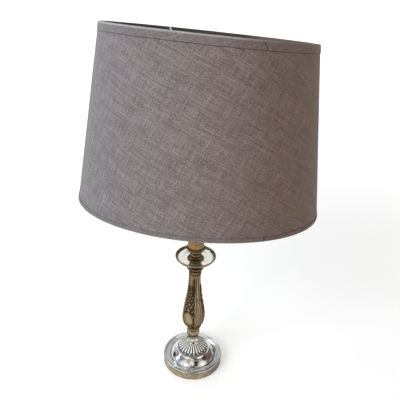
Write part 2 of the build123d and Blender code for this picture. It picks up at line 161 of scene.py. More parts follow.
# ------------------------------------------------------------------ meshes
def grid_object(name, V, close_u=True, close_v=True, uv=None, attrs=None, body="stand", material=None, materials=None, mat_index=None):
    """A quad surface from V (n, m, 3) in metres. uv is (n + 1, m + 1, 2) for closed directions."""
    n, m = V.shape[:2]
    nu, nv = (n if close_u else n - 1), (m if close_v else m - 1)
    i, j = np.meshgrid(np.arange(nu), np.arange(nv), indexing="ij")
    i2, j2 = (i + 1) % n, (j + 1) % m
    quads = np.stack([i * m + j, i2 * m + j, i2 * m + j2, i * m + j2], -1).reshape(-1, 4)
    P = V.reshape(-1, 3)
    flip = False
    if close_u and close_v or True:
        a, b, c, d = (P[quads[:, k]] for k in range(4))
        vol = (np.einsum("ij,ij->i", a, np.cross(b, c)) + np.einsum("ij,ij->i", a, np.cross(c, d))).sum()
        flip = vol < 0
    order = [0, 3, 2, 1] if flip else [0, 1, 2, 3]
    quads = quads[:, order]
    me = bpy.data.meshes.new(name)
    me.vertices.add(len(P))
    me.vertices.foreach_set("co", P.astype(np.float32).ravel())
    me.loops.add(quads.size)
    me.loops.foreach_set("vertex_index", quads.astype(np.int32).ravel())
    me.polygons.add(len(quads))
    me.polygons.foreach_set("loop_start", np.arange(0, quads.size, 4, dtype=np.int32))
    me.polygons.foreach_set("use_smooth", np.ones(len(quads), dtype=bool))
    if uv is not None:
        layer = me.uv_layers.new(name="UVMap")
        corners = np.stack([uv[i, j], uv[i + 1, j], uv[i + 1, j + 1], uv[i, j + 1]], 2).reshape(-1, 4, 2)[:, order]
        layer.data.foreach_set("uv", corners.astype(np.float32).ravel())
    for key, val in (attrs or {}).items():
        at = me.attributes.new(key, "FLOAT", "POINT")
        at.data.foreach_set("value", np.clip(val, 0, 1).astype(np.float32).ravel())
    me.update(calc_edges=True)
    me.validate()
    obj = bpy.data.objects.new(name, me)
    scene.collection.objects.link(obj)
    for mt in (materials or [material]):
        if mt is not None:
            me.materials.append(mt)
    if mat_index is not None:
        me.polygons.foreach_set("material_index", mat_index[i, j].reshape(-1).astype(np.int32))
    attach(obj, body)
    return obj


def lathe(name, prof, seg=192, disp=None, attr=None, body="stand", material=None, twist=None):
    """Turns a closed outline (mm) about Z. disp(P, phi) gives the height (mm)
    along the outline's normal, attr(P, phi, h) named values from 0 to 1."""
    prof = np.asarray(prof, float)
    area = 0.5 * np.sum(prof[:, 0] * np.roll(prof[:, 1], -1) - np.roll(prof[:, 0], -1) * prof[:, 1])
    if area < 0:
        prof = prof[::-1]
    d = np.roll(prof, -1, 0) - np.roll(prof, 1, 0)
    nrm = np.stack([d[:, 1], -d[:, 0]], -1)
    nrm /= np.maximum(np.linalg.norm(nrm, axis=1), 1e-9)[:, None]
    phi = np.arange(seg) * 2 * pi / seg
    h = np.zeros((seg, len(prof))) if disp is None else disp(prof, phi)
    r = prof[None, :, 0] + h * nrm[None, :, 0]
    z = prof[None, :, 1] + h * nrm[None, :, 1]
    V = np.stack([r * np.cos(phi)[:, None], r * np.sin(phi)[:, None], z], -1) * MM
    attrs = attr(prof, phi, h) if attr else None
    return grid_object(name, V, attrs=attrs, body=body, material=material)


def join_objects(name, objs):
    """One object from several meshes, made in mesh code."""
    verts, faces, off, att = [], [], 0, {}
    mats, mi = [], []
    for o in objs:
        me = o.data
        co = np.empty(len(me.vertices) * 3, np.float32)
        me.vertices.foreach_get("co", co)
        verts.append(co.reshape(-1, 3))
        for p in me.polygons:
            faces.append([v + off for v in p.vertices])
        off += len(me.vertices)
    me = bpy.data.meshes.new(name)
    me.from_pydata(np.concatenate(verts).tolist(), [], faces)
    me.polygons.foreach_set("use_smooth", np.ones(len(me.polygons), dtype=bool))
    me.materials.append(objs[0].data.materials[0])
    me.update()
    body = objs[0]["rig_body"] if "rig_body" in objs[0] else "stand"
    for o in objs:
        bpy.data.objects.remove(o, do_unlink=True)
    obj = bpy.data.objects.new(name, me)
    scene.collection.objects.link(obj)
    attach(obj, body)
    return obj


def ball(centre, r, squash=(1, 1, 1), nu=20, nv=12):
    """Vertices and quads of a closed ball, poles as small rings."""
    th = np.linspace(0.03, pi - 0.03, nv)
    ph = np.arange(nu) * 2 * pi / nu
    T, Pp = np.meshgrid(th, ph)
    V = np.stack([np.sin(T) * np.cos(Pp) * squash[0], np.sin(T) * np.sin(Pp) * squash[1], np.cos(T) * squash[2]], -1) * r
    V = (V + np.array(centre)).reshape(-1, 3)
    faces = []
    for i in range(nu):
        for j in range(nv - 1):
            i2 = (i + 1) % nu
            faces.append([i * nv + j, i * nv + j + 1, i2 * nv + j + 1, i2 * nv + j])
    faces.append([i * nv for i in range(nu)])
    faces.append([i * nv + nv - 1 for i in reversed(range(nu))])
    return V, faces


def tube_mesh(path, radius, seg=12, closed=False):
    """Vertices and quads of a round tube along a path; capped when open."""
    P = np.array(path, float)
    n = len(P)
    T = (np.roll(P, -1, 0) - np.roll(P, 1, 0)) if closed else np.gradient(P, axis=0)
    T /= np.linalg.norm(T, axis=1)[:, None]
    up = np.array([0, 0, 1.0]) if abs(T[0][2]) < 0.9 else np.array([1.0, 0, 0])
    rr = np.broadcast_to(np.asarray(radius, float), (n,))
    verts, faces = [], []
    a = np.cross(T[0], up)
    a /= np.linalg.norm(a)
    for k in range(n):
        a = a - T[k] * np.dot(a, T[k])
        a /= np.linalg.norm(a)
        b = np.cross(T[k], a)
        for s in range(seg):
            t = 2 * pi * s / seg
            verts.append(P[k] + rr[k] * (cos(t) * a + sin(t) * b))
    for k in range(n if closed else n - 1):
        k2 = (k + 1) % n
        for s in range(seg):
            s2 = (s + 1) % seg
            faces.append([k * seg + s, k2 * seg + s, k2 * seg + s2, k * seg + s2])
    if not closed:
        faces.append([s for s in range(seg)])
        faces.append([(n - 1) * seg + s for s in reversed(range(seg))])
    return np.array(verts), faces


def raw_object(name, parts, material, body="stand"):
    """One object from (vertices in mm, faces) parts."""
    verts, faces, off = [], [], 0
    for v, f in parts:
        verts.append(np.asarray(v))
        faces += [[k + off for k in q] for q in f]
        off += len(v)
    me = bpy.data.meshes.new(name)
    me.from_pydata((np.concatenate(verts) * MM).tolist(), [], faces)
    me.polygons.foreach_set("use_smooth", np.ones(len(me.polygons), dtype=bool))
    me.materials.append(material)
    me.update()
    bm_fix(me)
    obj = bpy.data.objects.new(name, me)
    scene.collection.objects.link(obj)
    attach(obj, body)
    return obj


def bm_fix(me):
    import bmesh
    bm = bmesh.new()
    bm.from_mesh(me)
    bmesh.ops.recalc_face_normals(bm, faces=bm.faces)
    bm.to_mesh(me)
    bm.free()


# ------------------------------------------------------------------ materials
class Mat:
    """A small helper that builds one Principled material from nodes."""

    def __init__(self, name):
        self.m = bpy.data.materials.new(name)
        self.m.use_nodes = True
        self.t = self.m.node_tree
        self.t.nodes.clear()
        self.out = self.t.nodes.new("ShaderNodeOutputMaterial")
        self.p = self.t.nodes.new("ShaderNodeBsdfPrincipled")
        self.t.links.new(self.p.outputs[0], self.out.inputs[0])
        self.co = self.t.nodes.new("ShaderNodeTexCoord")

    def put(self, socket, value):
        if isinstance(value, bpy.types.NodeSocket):
            self.t.links.new(value, socket)
        elif isinstance(value, (tuple, list)) and len(value) == 3 and socket.type == "RGBA":
            socket.default_value = (*value, 1.0)
        else:
            socket.default_value = value

    def set(self, **kw):
        for k, v in kw.items():
            self.put(self.p.inputs[k.replace("_", " ")], v)
        return self

    def math(self, op, a, b=0.0, c=None, clamp=False):
        n = self.t.nodes.new("ShaderNodeMath")
        n.operation, n.use_clamp = op, clamp
        self.put(n.inputs[0], a)
        self.put(n.inputs[1], b)
        if c is not None:
            self.put(n.inputs[2], c)
        return n.outputs[0]

    def vec(self, x, y, z=0.0):
        n = self.t.nodes.new("ShaderNodeCombineXYZ")
        for s, v in zip(n.inputs, (x, y, z)):
            self.put(s, v)
        return n.outputs[0]

    def xyz(self, v):
        n = self.t.nodes.new("ShaderNodeSeparateXYZ")
        self.put(n.inputs[0], v)
        return n.outputs

    def map(self, coord, scale=(1, 1, 1), rot=(0, 0, 0), loc=(0, 0, 0)):
        n = self.t.nodes.new("ShaderNodeMapping")
        self.put(n.inputs["Vector"], coord)
        n.inputs["Scale"].default_value = scale
        n.inputs["Rotation"].default_value = rot
        n.inputs["Location"].default_value = loc
        return n.outputs[0]

    def noise(self, coord, scale, detail=3.0, rough=0.55, distort=0.0):
        n = self.t.nodes.new("ShaderNodeTexNoise")
        self.put(n.inputs["Vector"], coord)
        n.inputs["Scale"].default_value = scale
        n.inputs["Detail"].default_value = detail
        n.inputs["Roughness"].default_value = rough
        n.inputs["Distortion"].default_value = distort
        return n.outputs["Fac"] if "Fac" in n.outputs else n.outputs[0]

    def voronoi(self, coord, scale, feature="F1"):
        n = self.t.nodes.new("ShaderNodeTexVoronoi")
        n.feature = feature
        self.put(n.inputs["Vector"], coord)
        n.inputs["Scale"].default_value = scale
        return n.outputs["Distance"]

    def ramp(self, fac, stops):
        n = self.t.nodes.new("ShaderNodeValToRGB")
        self.put(n.inputs[0], fac)
        e = n.color_ramp.elements
        while len(e) > 1:
            e.remove(e[-1])
        for k, (pos, col) in enumerate(stops):
            el = e[0] if k == 0 else e.new(pos)
            el.position = pos
            el.color = (*col, 1.0) if isinstance(col, tuple) else (col, col, col, 1.0)
        return n.outputs[0]

    def step(self, fac, a, b):
        """0 below a, 1 above b, smooth between."""
        n = self.t.nodes.new("ShaderNodeMapRange")
        n.interpolation_type = "SMOOTHSTEP"
        self.put(n.inputs[0], fac)
        n.inputs[1].default_value, n.inputs[2].default_value = a, b
        n.inputs[3].default_value, n.inputs[4].default_value = 0.0, 1.0
        return n.outputs[0]

    def span(self, fac, a, b):
        """fac from 0..1 to a..b."""
        n = self.t.nodes.new("ShaderNodeMapRange")
        self.put(n.inputs[0], fac)
        n.inputs[3].default_value, n.inputs[4].default_value = a, b
        return n.outputs[0]

    def mix(self, fac, a, b, mode="MIX"):
        n = self.t.nodes.new("ShaderNodeMix")
        n.data_type, n.blend_type = "RGBA", mode
        self.put(n.inputs[0], fac)
        self.put(n.inputs[6], a)
        self.put(n.inputs[7], b)
        return n.outputs[2]

    def attr(self, name):
        n = self.t.nodes.new("ShaderNodeAttribute")
        n.attribute_type, n.attribute_name = "GEOMETRY", name
        return n.outputs["Fac"]

    def bump(self, height, dist, strength=1.0, normal=None):
        n = self.t.nodes.new("ShaderNodeBump")
        n.inputs["Strength"].default_value = strength
        n.inputs["Distance"].default_value = dist
        self.put(n.inputs["Height"], height)
        if normal is not None:
            self.put(n.inputs["Normal"], normal)
        return n.outputs[0]

    @property
    def obj(self):
        return self.co.outputs["Object"]

    @property
    def uv(self):
        return self.co.outputs["UV"]


def metal(name, base, dark, rough=(0.08, 0.2), tarnish=0.5, attr=None, spots=0.0, scratch=0.00002, patch_scale=45.0, bump_scale=700.0, rim=0.0, low=None, edge=None, streaks=0.0, metallic=1.0, graze=None):
    """Plated or polished metal: cloudy tarnish, darker hollows, fine scratches."""
    m = Mat(name)
    big = m.noise(m.obj, patch_scale, 5.0, 0.6, 0.4)
    fine = m.noise(m.obj, 900.0, 4.0, 0.6)
    cloud = m.step(big, 0.48, 0.78)
    amount = m.math("MULTIPLY", cloud, tarnish)
    if attr:
        cav = m.attr(attr)
        cavn = m.math("MULTIPLY", cav, m.span(fine, 0.72, 1.1), clamp=True)
        amount = m.math("MAXIMUM", amount, cavn)
    if streaks > 0:
        sx, sy, sz = m.xyz(m.obj)
        run = m.noise(m.vec(m.math("MULTIPLY", sx, 330.0), m.math("MULTIPLY", sy, 330.0), m.math("MULTIPLY", sz, 26.0)), 1.0, 3.0, 0.6)
        amount = m.math("MAXIMUM", amount, m.math("MULTIPLY", m.step(run, 0.46, 0.68), streaks))
    if spots > 0:
        v = m.voronoi(m.map(m.obj, loc=(0.013, 0.004, 0.0)), 260.0)
        size = m.span(m.noise(m.obj, 60.0, 2.0), -0.10, 0.16)
        dot = m.math("SUBTRACT", 1.0, m.step(m.math("SUBTRACT", v, size), 0.0, 0.09))
        amount = m.math("MAXIMUM", amount, m.math("MULTIPLY", dot, spots))
    if low:
        base = m.mix(m.step(m.xyz(m.obj)[2], low[0], low[1]), low[2], base)
    if edge:
        base = m.mix(m.attr("edge"), base, edge)
    col = m.mix(amount, base, dark)
    col = m.mix(m.span(fine, 0.0, 0.10), col, tuple(0.8 * c for c in dark))
    # painted shade: the colour darkens towards edges seen at a grazing angle
    if rim > 0:
        lw = m.t.nodes.new("ShaderNodeLayerWeight")
        lw.inputs[0].default_value = 0.35
        col = m.mix(m.math("MULTIPLY", m.step(lw.outputs["Facing"], 0.25, 0.85), rim), col, dark)
    r = m.math("ADD", m.span(m.noise(m.obj, 130.0, 4.0, 0.6), rough[0], rough[1]), m.math("MULTIPLY", amount, 0.28))
    streak = m.noise(m.map(m.obj, scale=(1.0, 1.0, 9.0), rot=(0.3, 0.2, 0.5)), bump_scale, 3.0, 0.65)
    nrm = m.bump(m.math("ADD", m.math("MULTIPLY", streak, 0.5), big), scratch * 12, 0.35)
    m.set(Base_Color=col, Metallic=metallic, Roughness=r, Normal=nrm)
    if graze:
        m.p.inputs["Specular Tint"].default_value = (*graze, 1.0)
    return m.m


bead_metal = metal("plate_beads", (0.86, 0.85, 0.80), (0.1, 0.08, 0.06), (0.10, 0.2), 0.3, patch_scale=60.0)
plate = metal("plate", (0.80, 0.81, 0.80), (0.15, 0.12, 0.08), (0.05, 0.13), 0.25, attr="cav", spots=0.5, patch_scale=38.0)
cast = metal("plate_cast", (1.0, 1.0, 0.975), (0.012, 0.009, 0.005), (0.14, 0.24), 0.03, attr="cav", patch_scale=60.0, metallic=0.12)
# The tan and brown of these plated pieces is partly worn plating and partly a painted reflection of a brown tabletop;
# the darkest copy, for the pieces under the drip pan, adds painted shade.
wear_and_painted_reflection = metal("plate_worn", (0.315, 0.232, 0.132), (0.028, 0.017, 0.008), (0.08, 0.20), 0.45, attr="cav", patch_scale=60.0, rim=0.5, streaks=0.66, graze=(0.62, 0.50, 0.34))
chased_wear_and_painted_reflection = metal("plate_chased_wear_and_painted_reflection", (0.265, 0.188, 0.102), (0.024, 0.015, 0.008), (0.08, 0.20), 0.45, attr="cav", patch_scale=60.0, rim=0.5, streaks=0.60,
                    graze=(0.62, 0.50, 0.34), edge=(0.475, 0.375, 0.24))
shaded_wear_and_painted_reflection = metal("plate_shaded_wear_and_painted_reflection", (0.215, 0.152, 0.088), (0.022, 0.014, 0.007), (0.06, 0.15), 0.45, attr="cav", patch_scale=60.0, rim=0.6, graze=(0.22, 0.16, 0.10))
pale_wear_and_painted_reflection = metal("plate_pale_wear_and_painted_reflection", (0.37, 0.285, 0.18), (0.045, 0.03, 0.016), (0.07, 0.16), 0.40, attr="cav", patch_scale=60.0, rim=0.75,
                   low=(0.050, 0.074, (0.72, 0.69, 0.62)), streaks=0.5, graze=(0.5, 0.45, 0.36))
pan_plate = metal("plate_pan", (0.93, 0.95, 0.96), (0.15, 0.12, 0.08), (0.05, 0.13), 0.20, attr="cav", spots=0.5, patch_scale=38.0, edge=(0.27, 0.19, 0.105))
brass = metal("brass", (0.295, 0.18, 0.08), (0.07, 0.038, 0.014), (0.20, 0.34), 0.35, attr="cav", patch_scale=50.0, rim=0.5)
brass_plain = metal("brass_plain", (0.42, 0.29, 0.13), (0.16, 0.10, 0.04), (0.18, 0.3), 0.35, patch_scale=50.0)
nickel = metal("nickel", (0.66, 0.62, 0.54), (0.2, 0.17, 0.12), (0.15, 0.28), 0.25)
steel = metal("steel", (0.52, 0.52, 0.53), (0.14, 0.13, 0.12), (0.25, 0.42), 0.35)
cap_metal = metal("cap_metal", (0.74, 0.74, 0.75), (0.3, 0.29, 0.27), (0.2, 0.32), 0.25)


def foot_material():
    """Mirror plate above, and a speckled skirt below the rim whose brown is partly wear and partly a painted reflection
    of a brown tabletop.
    """
    m = Mat("foot_plate")
    z = m.xyz(m.obj)[2]
    cav = m.attr("cav")
    skirt = m.attr("skirt")
    big = m.noise(m.obj, 34.0, 5.0, 0.6, 0.5)
    fine = m.noise(m.obj, 950.0, 4.0, 0.6)
    mid = m.noise(m.obj, 240.0, 4.0, 0.65)
    cloud = m.math("MULTIPLY", m.step(big, 0.50, 0.80), 0.30)
    amount = m.math("MAXIMUM", cloud, m.math("MULTIPLY", cav, m.span(fine, 0.7, 1.1), clamp=True))
    top = m.mix(amount, (0.80, 0.815, 0.81), (0.085, 0.068, 0.045))
    edge = m.attr("edge")
    top = m.mix(edge, top, (0.30, 0.235, 0.15))
    # skirt: brown in grains and in patches, partly wear showing through and partly a painted reflection of a brown
    # tabletop
    grain = m.ramp(m.math("ADD", m.math("MULTIPLY", fine, 0.6), m.math("MULTIPLY", mid, 0.5)),
                   [(0.42, (0.065, 0.045, 0.022)), (0.50, (0.23, 0.17, 0.095)), (0.58, (0.36, 0.285, 0.175)), (0.68, (0.60, 0.53, 0.40))])
    low = m.mix(m.step(big, 0.50, 0.75), grain, (0.15, 0.105, 0.055))
    low = m.mix(0.5, low, grain)
    # painted shade: the skirt is darker towards +X
    low = m.mix(m.math("MULTIPLY", m.step(m.xyz(m.obj)[0], 0.018, 0.052), 0.62), low, (0.11, 0.075, 0.04))
    col = m.mix(skirt, top, low)
    r0 = m.math("ADD", m.span(m.noise(m.obj, 120.0, 4.0), 0.07, 0.16), m.math("MULTIPLY", amount, 0.30))
    r1 = m.span(mid, 0.26, 0.5)
    n = m.t.nodes.new("ShaderNodeMix")
    n.data_type = "FLOAT"
    m.put(n.inputs[0], skirt)
    m.put(n.inputs[2], r0)
    m.put(n.inputs[3], r1)
    h = m.math("ADD", m.math("MULTIPLY", big, 0.9), m.math("MULTIPLY", m.math("MULTIPLY", mid, skirt), 0.35))
    metalness = m.math("SUBTRACT", 1.0, m.math("MULTIPLY", skirt, 0.45))
    m.set(Base_Color=col, Metallic=metalness, Roughness=n.outputs[0], Normal=m.bump(h, 0.00035, 0.25))
    return m.m


foot_plate = foot_material()


def linen(name, hue, inner=False, tape=False, angle=0.0):
    """Slubby linen. The UV map is the cloth's flat cut in metres, so the threads
    lie as they do on the real cut and turn slowly round the cone."""
    m = Mat(name)
    uv = m.map(m.uv, rot=(0, 0, angle))
    x, y, _ = m.xyz(uv)
    pitch = 0.00105
    wob = m.math("MULTIPLY", m.math("SUBTRACT", m.noise(uv, 70.0, 2.0), 0.5), 0.0012)
    xw, yw = m.math("ADD", x, wob), m.math("ADD", y, wob)
    # single threads, each with its own strength along its length
    sx = m.math("SINE", m.math("MULTIPLY", xw, 2 * pi / pitch))
    sy = m.math("SINE", m.math("MULTIPLY", yw, 2 * pi / pitch))
    weave = m.math("MULTIPLY", sx, sy)
    warp = m.noise(m.vec(m.math("MULTIPLY", xw, 1.0 / 0.0014), m.math("MULTIPLY", yw, 1.0 / 0.023)), 1.0, 1.4, 0.5)
    weft = m.noise(m.vec(m.math("MULTIPLY", xw, 1.0 / 0.023), m.math("MULTIPLY", yw, 1.0 / 0.0014), 7.7), 1.0, 1.4, 0.5)
    warp2 = m.noise(m.vec(m.math("MULTIPLY", xw, 1.0 / 0.0052), m.math("MULTIPLY", yw, 1.0 / 0.11), 3.1), 1.0, 2.0, 0.5)
    weft2 = m.noise(m.vec(m.math("MULTIPLY", xw, 1.0 / 0.11), m.math("MULTIPLY", yw, 1.0 / 0.0052), 5.3), 1.0, 2.0, 0.5)
    slub = m.math("MAXIMUM", m.step(warp, 0.52, 0.68), m.step(weft, 0.53, 0.69))
    thin = m.math("MAXIMUM", m.step(m.math("SUBTRACT", 1.0, warp), 0.53, 0.69), m.step(m.math("SUBTRACT", 1.0, weft), 0.53, 0.69))
    wide = m.math("ADD", warp2, weft2)
    blot = m.noise(uv, 26.0, 3.0, 0.55)
    fuzz = m.noise(uv, 1500.0, 2.0, 0.6)
    mid, lightc, darkc = hue
    grain = m.noise(uv, 560.0, 2.0, 0.7)
    col = m.mix(m.math("MULTIPLY", slub, 0.72), mid, lightc)
    col = m.mix(m.math("MULTIPLY", thin, 0.66), col, darkc)
    col = m.mix(m.math("MULTIPLY", m.step(grain, 0.50, 0.60), 0.46), col, lightc)
    col = m.mix(m.math("MULTIPLY", m.step(m.math("SUBTRACT", 1.0, grain), 0.50, 0.60), 0.50), col, darkc)
    col = m.mix(m.math("MULTIPLY", m.step(wide, 0.95, 1.25), 0.16), col, lightc)
    col = m.mix(m.math("MULTIPLY", m.step(m.math("SUBTRACT", 2.0, wide), 0.95, 1.3), 0.14), col, darkc)
    col = m.mix(m.span(blot, -0.10, 0.24), col, darkc)
    col = m.mix(m.span(fuzz, 0.0, 0.22), col, lightc)
    col = m.mix(m.math("MULTIPLY", m.step(weave, -0.2, 0.9), 0.18), col, darkc)
    # painted light and shade: the cloth is tinted cool on the -X side and darker and warmer towards +X
    side = m.ramp(m.math("MULTIPLY", m.math("ADD", m.xyz(m.obj)[0], 0.2), 2.5),
                  [(0.07, (0.79, 0.90, 0.98)), (0.30, (0.85, 0.88, 0.93)), (0.52, (0.90, 0.85, 0.855)), (0.70, (0.80, 0.68, 0.63)), (0.90, (0.76, 0.61, 0.47))])
    painted_light_tint = m.t.nodes.new("ShaderNodeMix")
    painted_light_tint.data_type, painted_light_tint.blend_type = "RGBA", "MULTIPLY"
    painted_light_tint.inputs[0].default_value = 1.0
    m.put(painted_light_tint.inputs[6], col)
    m.put(painted_light_tint.inputs[7], side)
    col = painted_light_tint.outputs[2]
    # the edge attribute brings painted shadows along the tapes' edges and seams and painted shade on the tape's inner
    # side; lit brings a painted highlight on the top fold
    edge = m.attr("edge")
    col = m.mix(m.math("MULTIPLY", edge, 0.86), col, tuple(0.16 * c for c in darkc))
    col = m.mix(m.math("MULTIPLY", m.attr("lit"), 0.75), col, (0.47, 0.47, 0.48))
    h = m.math("ADD", m.math("MULTIPLY", weave, 0.25), m.math("ADD", m.math("MULTIPLY", slub, 0.7), m.math("MULTIPLY", fuzz, 0.4)))
    nrm = m.bump(h, 0.00022, 0.8)
    m.set(Base_Color=col, Roughness=m.span(fuzz, 0.82, 0.97), Normal=nrm)
    m.p.inputs["Sheen Weight"].default_value = 0.18
    m.p.inputs["Sheen Roughness"].default_value = 0.45
    m.p.inputs["Specular IOR Level"].default_value = 0.15
    return m.m


linen_out = linen("linen", ((0.174, 0.144, 0.139), (0.315, 0.273, 0.264), (0.080, 0.063, 0.060)), angle=radians(-25))
linen_tape = linen("linen_tape", ((0.180, 0.152, 0.148), (0.265, 0.232, 0.225), (0.092, 0.075, 0.071)), angle=radians(24))


def coated(name, base, rough, chip=(0.3, 0.28, 0.25)):
    m = Mat(name)
    n1 = m.noise(m.obj, 140.0, 4.0, 0.6)
    n2 = m.noise(m.obj, 900.0, 3.0, 0.6)
    col = m.mix(m.span(n1, -0.05, 0.30), base, tuple(0.75 * c for c in base))
    col = m.mix(m.math("MULTIPLY", m.step(n2, 0.70, 0.80), 0.5), col, chip)
    m.set(Base_Color=col, Roughness=m.span(n1, rough[0], rough[1]), Normal=m.bump(n2, 0.0001, 0.25))
    return m.m


white_wire = coated("white_wire", (0.80, 0.80, 0.78), (0.30, 0.48))
lining = coated("shade_lining", (0.80, 0.795, 0.77), (0.42, 0.58), (0.7, 0.68, 0.62))
# painted light: the lining glows faintly, as if lit through the cloth
lining.node_tree.nodes["Principled BSDF"].inputs["Emission Color"].default_value = (1.0, 0.97, 0.92, 1.0)
lining.node_tree.nodes["Principled BSDF"].inputs["Emission Strength"].default_value = 0.22
porcelain = coated("porcelain", (0.78, 0.76, 0.71), (0.12, 0.22), (0.5, 0.45, 0.38))
black_rubber = coated("black_rubber", (0.035, 0.034, 0.033), (0.6, 0.8), (0.07, 0.07, 0.07))
black_nylon = coated("black_nylon", (0.04, 0.04, 0.042), (0.38, 0.52), (0.09, 0.09, 0.09))
black_glass = coated("black_glass", (0.02, 0.02, 0.024), (0.08, 0.18), (0.06, 0.06, 0.06))
iron = coated("cast_iron", (0.09, 0.088, 0.085), (0.55, 0.8), (0.16, 0.10, 0.06))


def felt_material():
    m = Mat("felt")
    n1 = m.noise(m.obj, 1400.0, 4.0, 0.7)
    n2 = m.noise(m.obj, 90.0, 3.0, 0.6)
    col = m.ramp(m.math("ADD", m.math("MULTIPLY", n1, 0.7), m.math("MULTIPLY", n2, 0.3)), [(0.3, (0.02, 0.045, 0.028)), (0.7, (0.055, 0.105, 0.065))])
    m.set(Base_Color=col, Roughness=m.span(n1, 0.9, 1.0), Normal=m.bump(n1, 0.0004, 0.8))
    return m.m


felt = felt_material()


def opal_material():
    m = Mat("opal_glass")
    n1 = m.noise(m.obj, 60.0, 3.0, 0.5)
    col = m.mix(m.span(n1, 0.0, 0.12), (0.86, 0.855, 0.83), (0.74, 0.73, 0.70))
    m.set(Base_Color=col, Roughness=m.span(n1, 0.22, 0.34))
    m.p.inputs["Subsurface Weight"].default_value = 0.3
    m.p.inputs["Subsurface Scale"].default_value = 0.004
    m.p.inputs["Coat Weight"].default_value = 0.25
    return m.m


opal = opal_material()

# carried-over CAD nodes get their finishes here
CAD_FINISH = {
    "foot_felt": felt, "foot_weight": iron, "inlet_bush": black_nylon, "threaded_rod": steel, "rod_washer": steel, "rod_nuts": steel,
    "cup_sleeve": black_rubber, "holder_insert": porcelain, "terminal_screws": nickel, "thread_shell": nickel, "centre_contact": nickel,
    "shade_nut_low": brass_plain, "shade_nut_top": brass_plain, "fitter_washer": white_wire, "gimbal_ring": white_wire, "fitter_arms": white_wire,
    "lower_ring": white_wire, "upper_ring": white_wire, "shade_struts": white_wire, "bulb_contact": black_glass,
}
for node, mat in CAD_FINISH.items():
    o = frame["nodes"][node]
    for s in o.material_slots:
        s.material = mat
    if not o.material_slots:
        o.data.materials.append(mat)

def smooth(x, a, b):
    t = np.clip((x - a) / (b - a), 0, 1)
    return t * t * (3 - 2 * t)


# ------------------------------------------------------------------ foot
SCROLLS = [
    # (degrees from the cluster's middle, radius), half-width and height in mm
    ([(0.8, 48.2), (3.0, 45.2), (6.0, 41.8), (9.0, 39.0)], 0.45, 0.18),
    ([(9.5, 38.6), (13.0, 40.4), (17.0, 43.6), (21.5, 46.2), (26.5, 46.6), (30.6, 44.6), (31.6, 41.6), (29.4, 39.6), (26.6, 40.6), (26.6, 42.6)], 0.5, 0.24),
    ([(12.0, 38.0), (17.0, 36.0), (23.0, 35.6), (28.0, 37.0)], 0.35, 0.10),
]
LEAVES = [(26.4, 43.9, 1.5, 1.9)]


def foot_relief(prof, phi):
    """Chased scrolls on the foot: four clusters of back-to-back scrolls."""
    n, m = len(phi), len(prof)
    h = np.zeros((n, m))
    cav = np.zeros((n, m))
    r, z = prof[:, 0], prof[:, 1]
    sel = np.where((r > 29.9) & (r < 50.6) & (z > 11.6) & (z < 27.0) & (prof[:, 2] > 0.5))[0]
    a = phi[:, None] - radians(-96.0)
    a = (a + pi / 4) % (pi / 2) - pi / 4
    X = (r[sel][None, :] * np.cos(a)).ravel()
    Y = (r[sel][None, :] * np.sin(a)).ravel()
    best = np.zeros_like(X)
    shade = np.zeros_like(X)
    for pts, w, high in SCROLLS:
        for mirror in (1, -1):
            c = np.array([(q[1] * cos(radians(q[0] * mirror)), q[1] * sin(radians(q[0] * mirror))) for q in catmull(pts, 12)])
            k = np.linspace(0, 1, len(c))
            width = w * (0.5 + 0.6 * np.sin(pi * np.clip(k * 0.9 + 0.08, 0, 1)))
            d = np.full_like(X, 1e9)
            ww = np.full_like(X, w)
            for q, wq in zip(c, width):
                dd = np.hypot(X - q[0], Y - q[1])
                near = dd < d
                d = np.where(near, dd, d)
                ww = np.where(near, wq, ww)
            best = np.maximum(best, high * np.exp(-(d / ww) ** 2))
            shade = np.maximum(shade, 0.85 * np.exp(-(d / (1.3 * (0.4 + ww))) ** 2))
    for ang, rad, wa, wr in [(sg * q[0],) + q[1:] for q in LEAVES for sg in (1, -1)]:
        cx, cy = rad * cos(radians(ang)), rad * sin(radians(ang))
        ex, ey = cos(radians(ang)), sin(radians(ang))
        u = ((X - cx) * ex + (Y - cy) * ey) / wr
        v = (-(X - cx) * ey + (Y - cy) * ex) / wa
        q = u * u + v * v
        best = np.maximum(best, 0.35 * np.exp(-q * q))
        shade = np.maximum(shade, 0.5 * np.exp(-((np.sqrt(q) - 1.25) / 0.22) ** 2))
    h[:, sel] = best.reshape(n, len(sel))
    # the chasing is raised higher and darker towards +X
    side = np.clip(np.cos(phi - radians(12.0)), 0.0, 1.0)[:, None]
    h[:, sel] *= 0.20 + 0.8 * side
    cav[:, sel] = np.clip(shade.reshape(n, len(sel)) * (0.10 + 0.85 * side), 0, 1)
    return h, cav


outer = [
    [(55.1, 0.8), (54.7, 4.0), (54.5, 8.5), (54.6, 12.2)],
    [(54.6, 12.2), (55.1, 13.0), (55.3, 14.1), (54.95, 14.95), (54.0, 15.35), (52.7, 15.15), (51.3, 14.3), (49.6, 13.45), (47.6, 12.8),
     (45.4, 12.35), (43.6, 12.2), (42.5, 12.6), (41.8, 13.8), (40.9, 15.8), (39.4, 18.1), (37.0, 20.8), (34.2, 23.5), (31.8, 25.4), (30.5, 26.6)],
    [(30.5, 26.6), (29.9, 27.5), (29.3, 28.3), (28.6, 28.35), (28.05, 27.9), (27.6, 27.45)],
    [(27.6, 27.45), (5.2, 27.4)],
]
inner = [
    [(5.2, 27.4), (5.2, 26.3)],
    [(5.2, 26.3), (26.8, 26.3)],
    [(26.8, 26.3), (28.6, 26.0), (30.9, 24.3), (33.2, 22.6), (36.1, 19.9), (38.4, 17.1), (39.8, 15.0), (40.7, 13.0), (41.6, 11.6), (43.2, 11.1),
     (45.5, 11.2), (48.3, 11.8), (51.0, 12.9), (52.8, 13.8), (53.5, 13.2)],
    [(53.5, 13.2), (53.4, 8.0), (53.6, 4.0), (54.0, 0.8)],
    [(54.0, 0.8), (55.1, 0.8)],
]
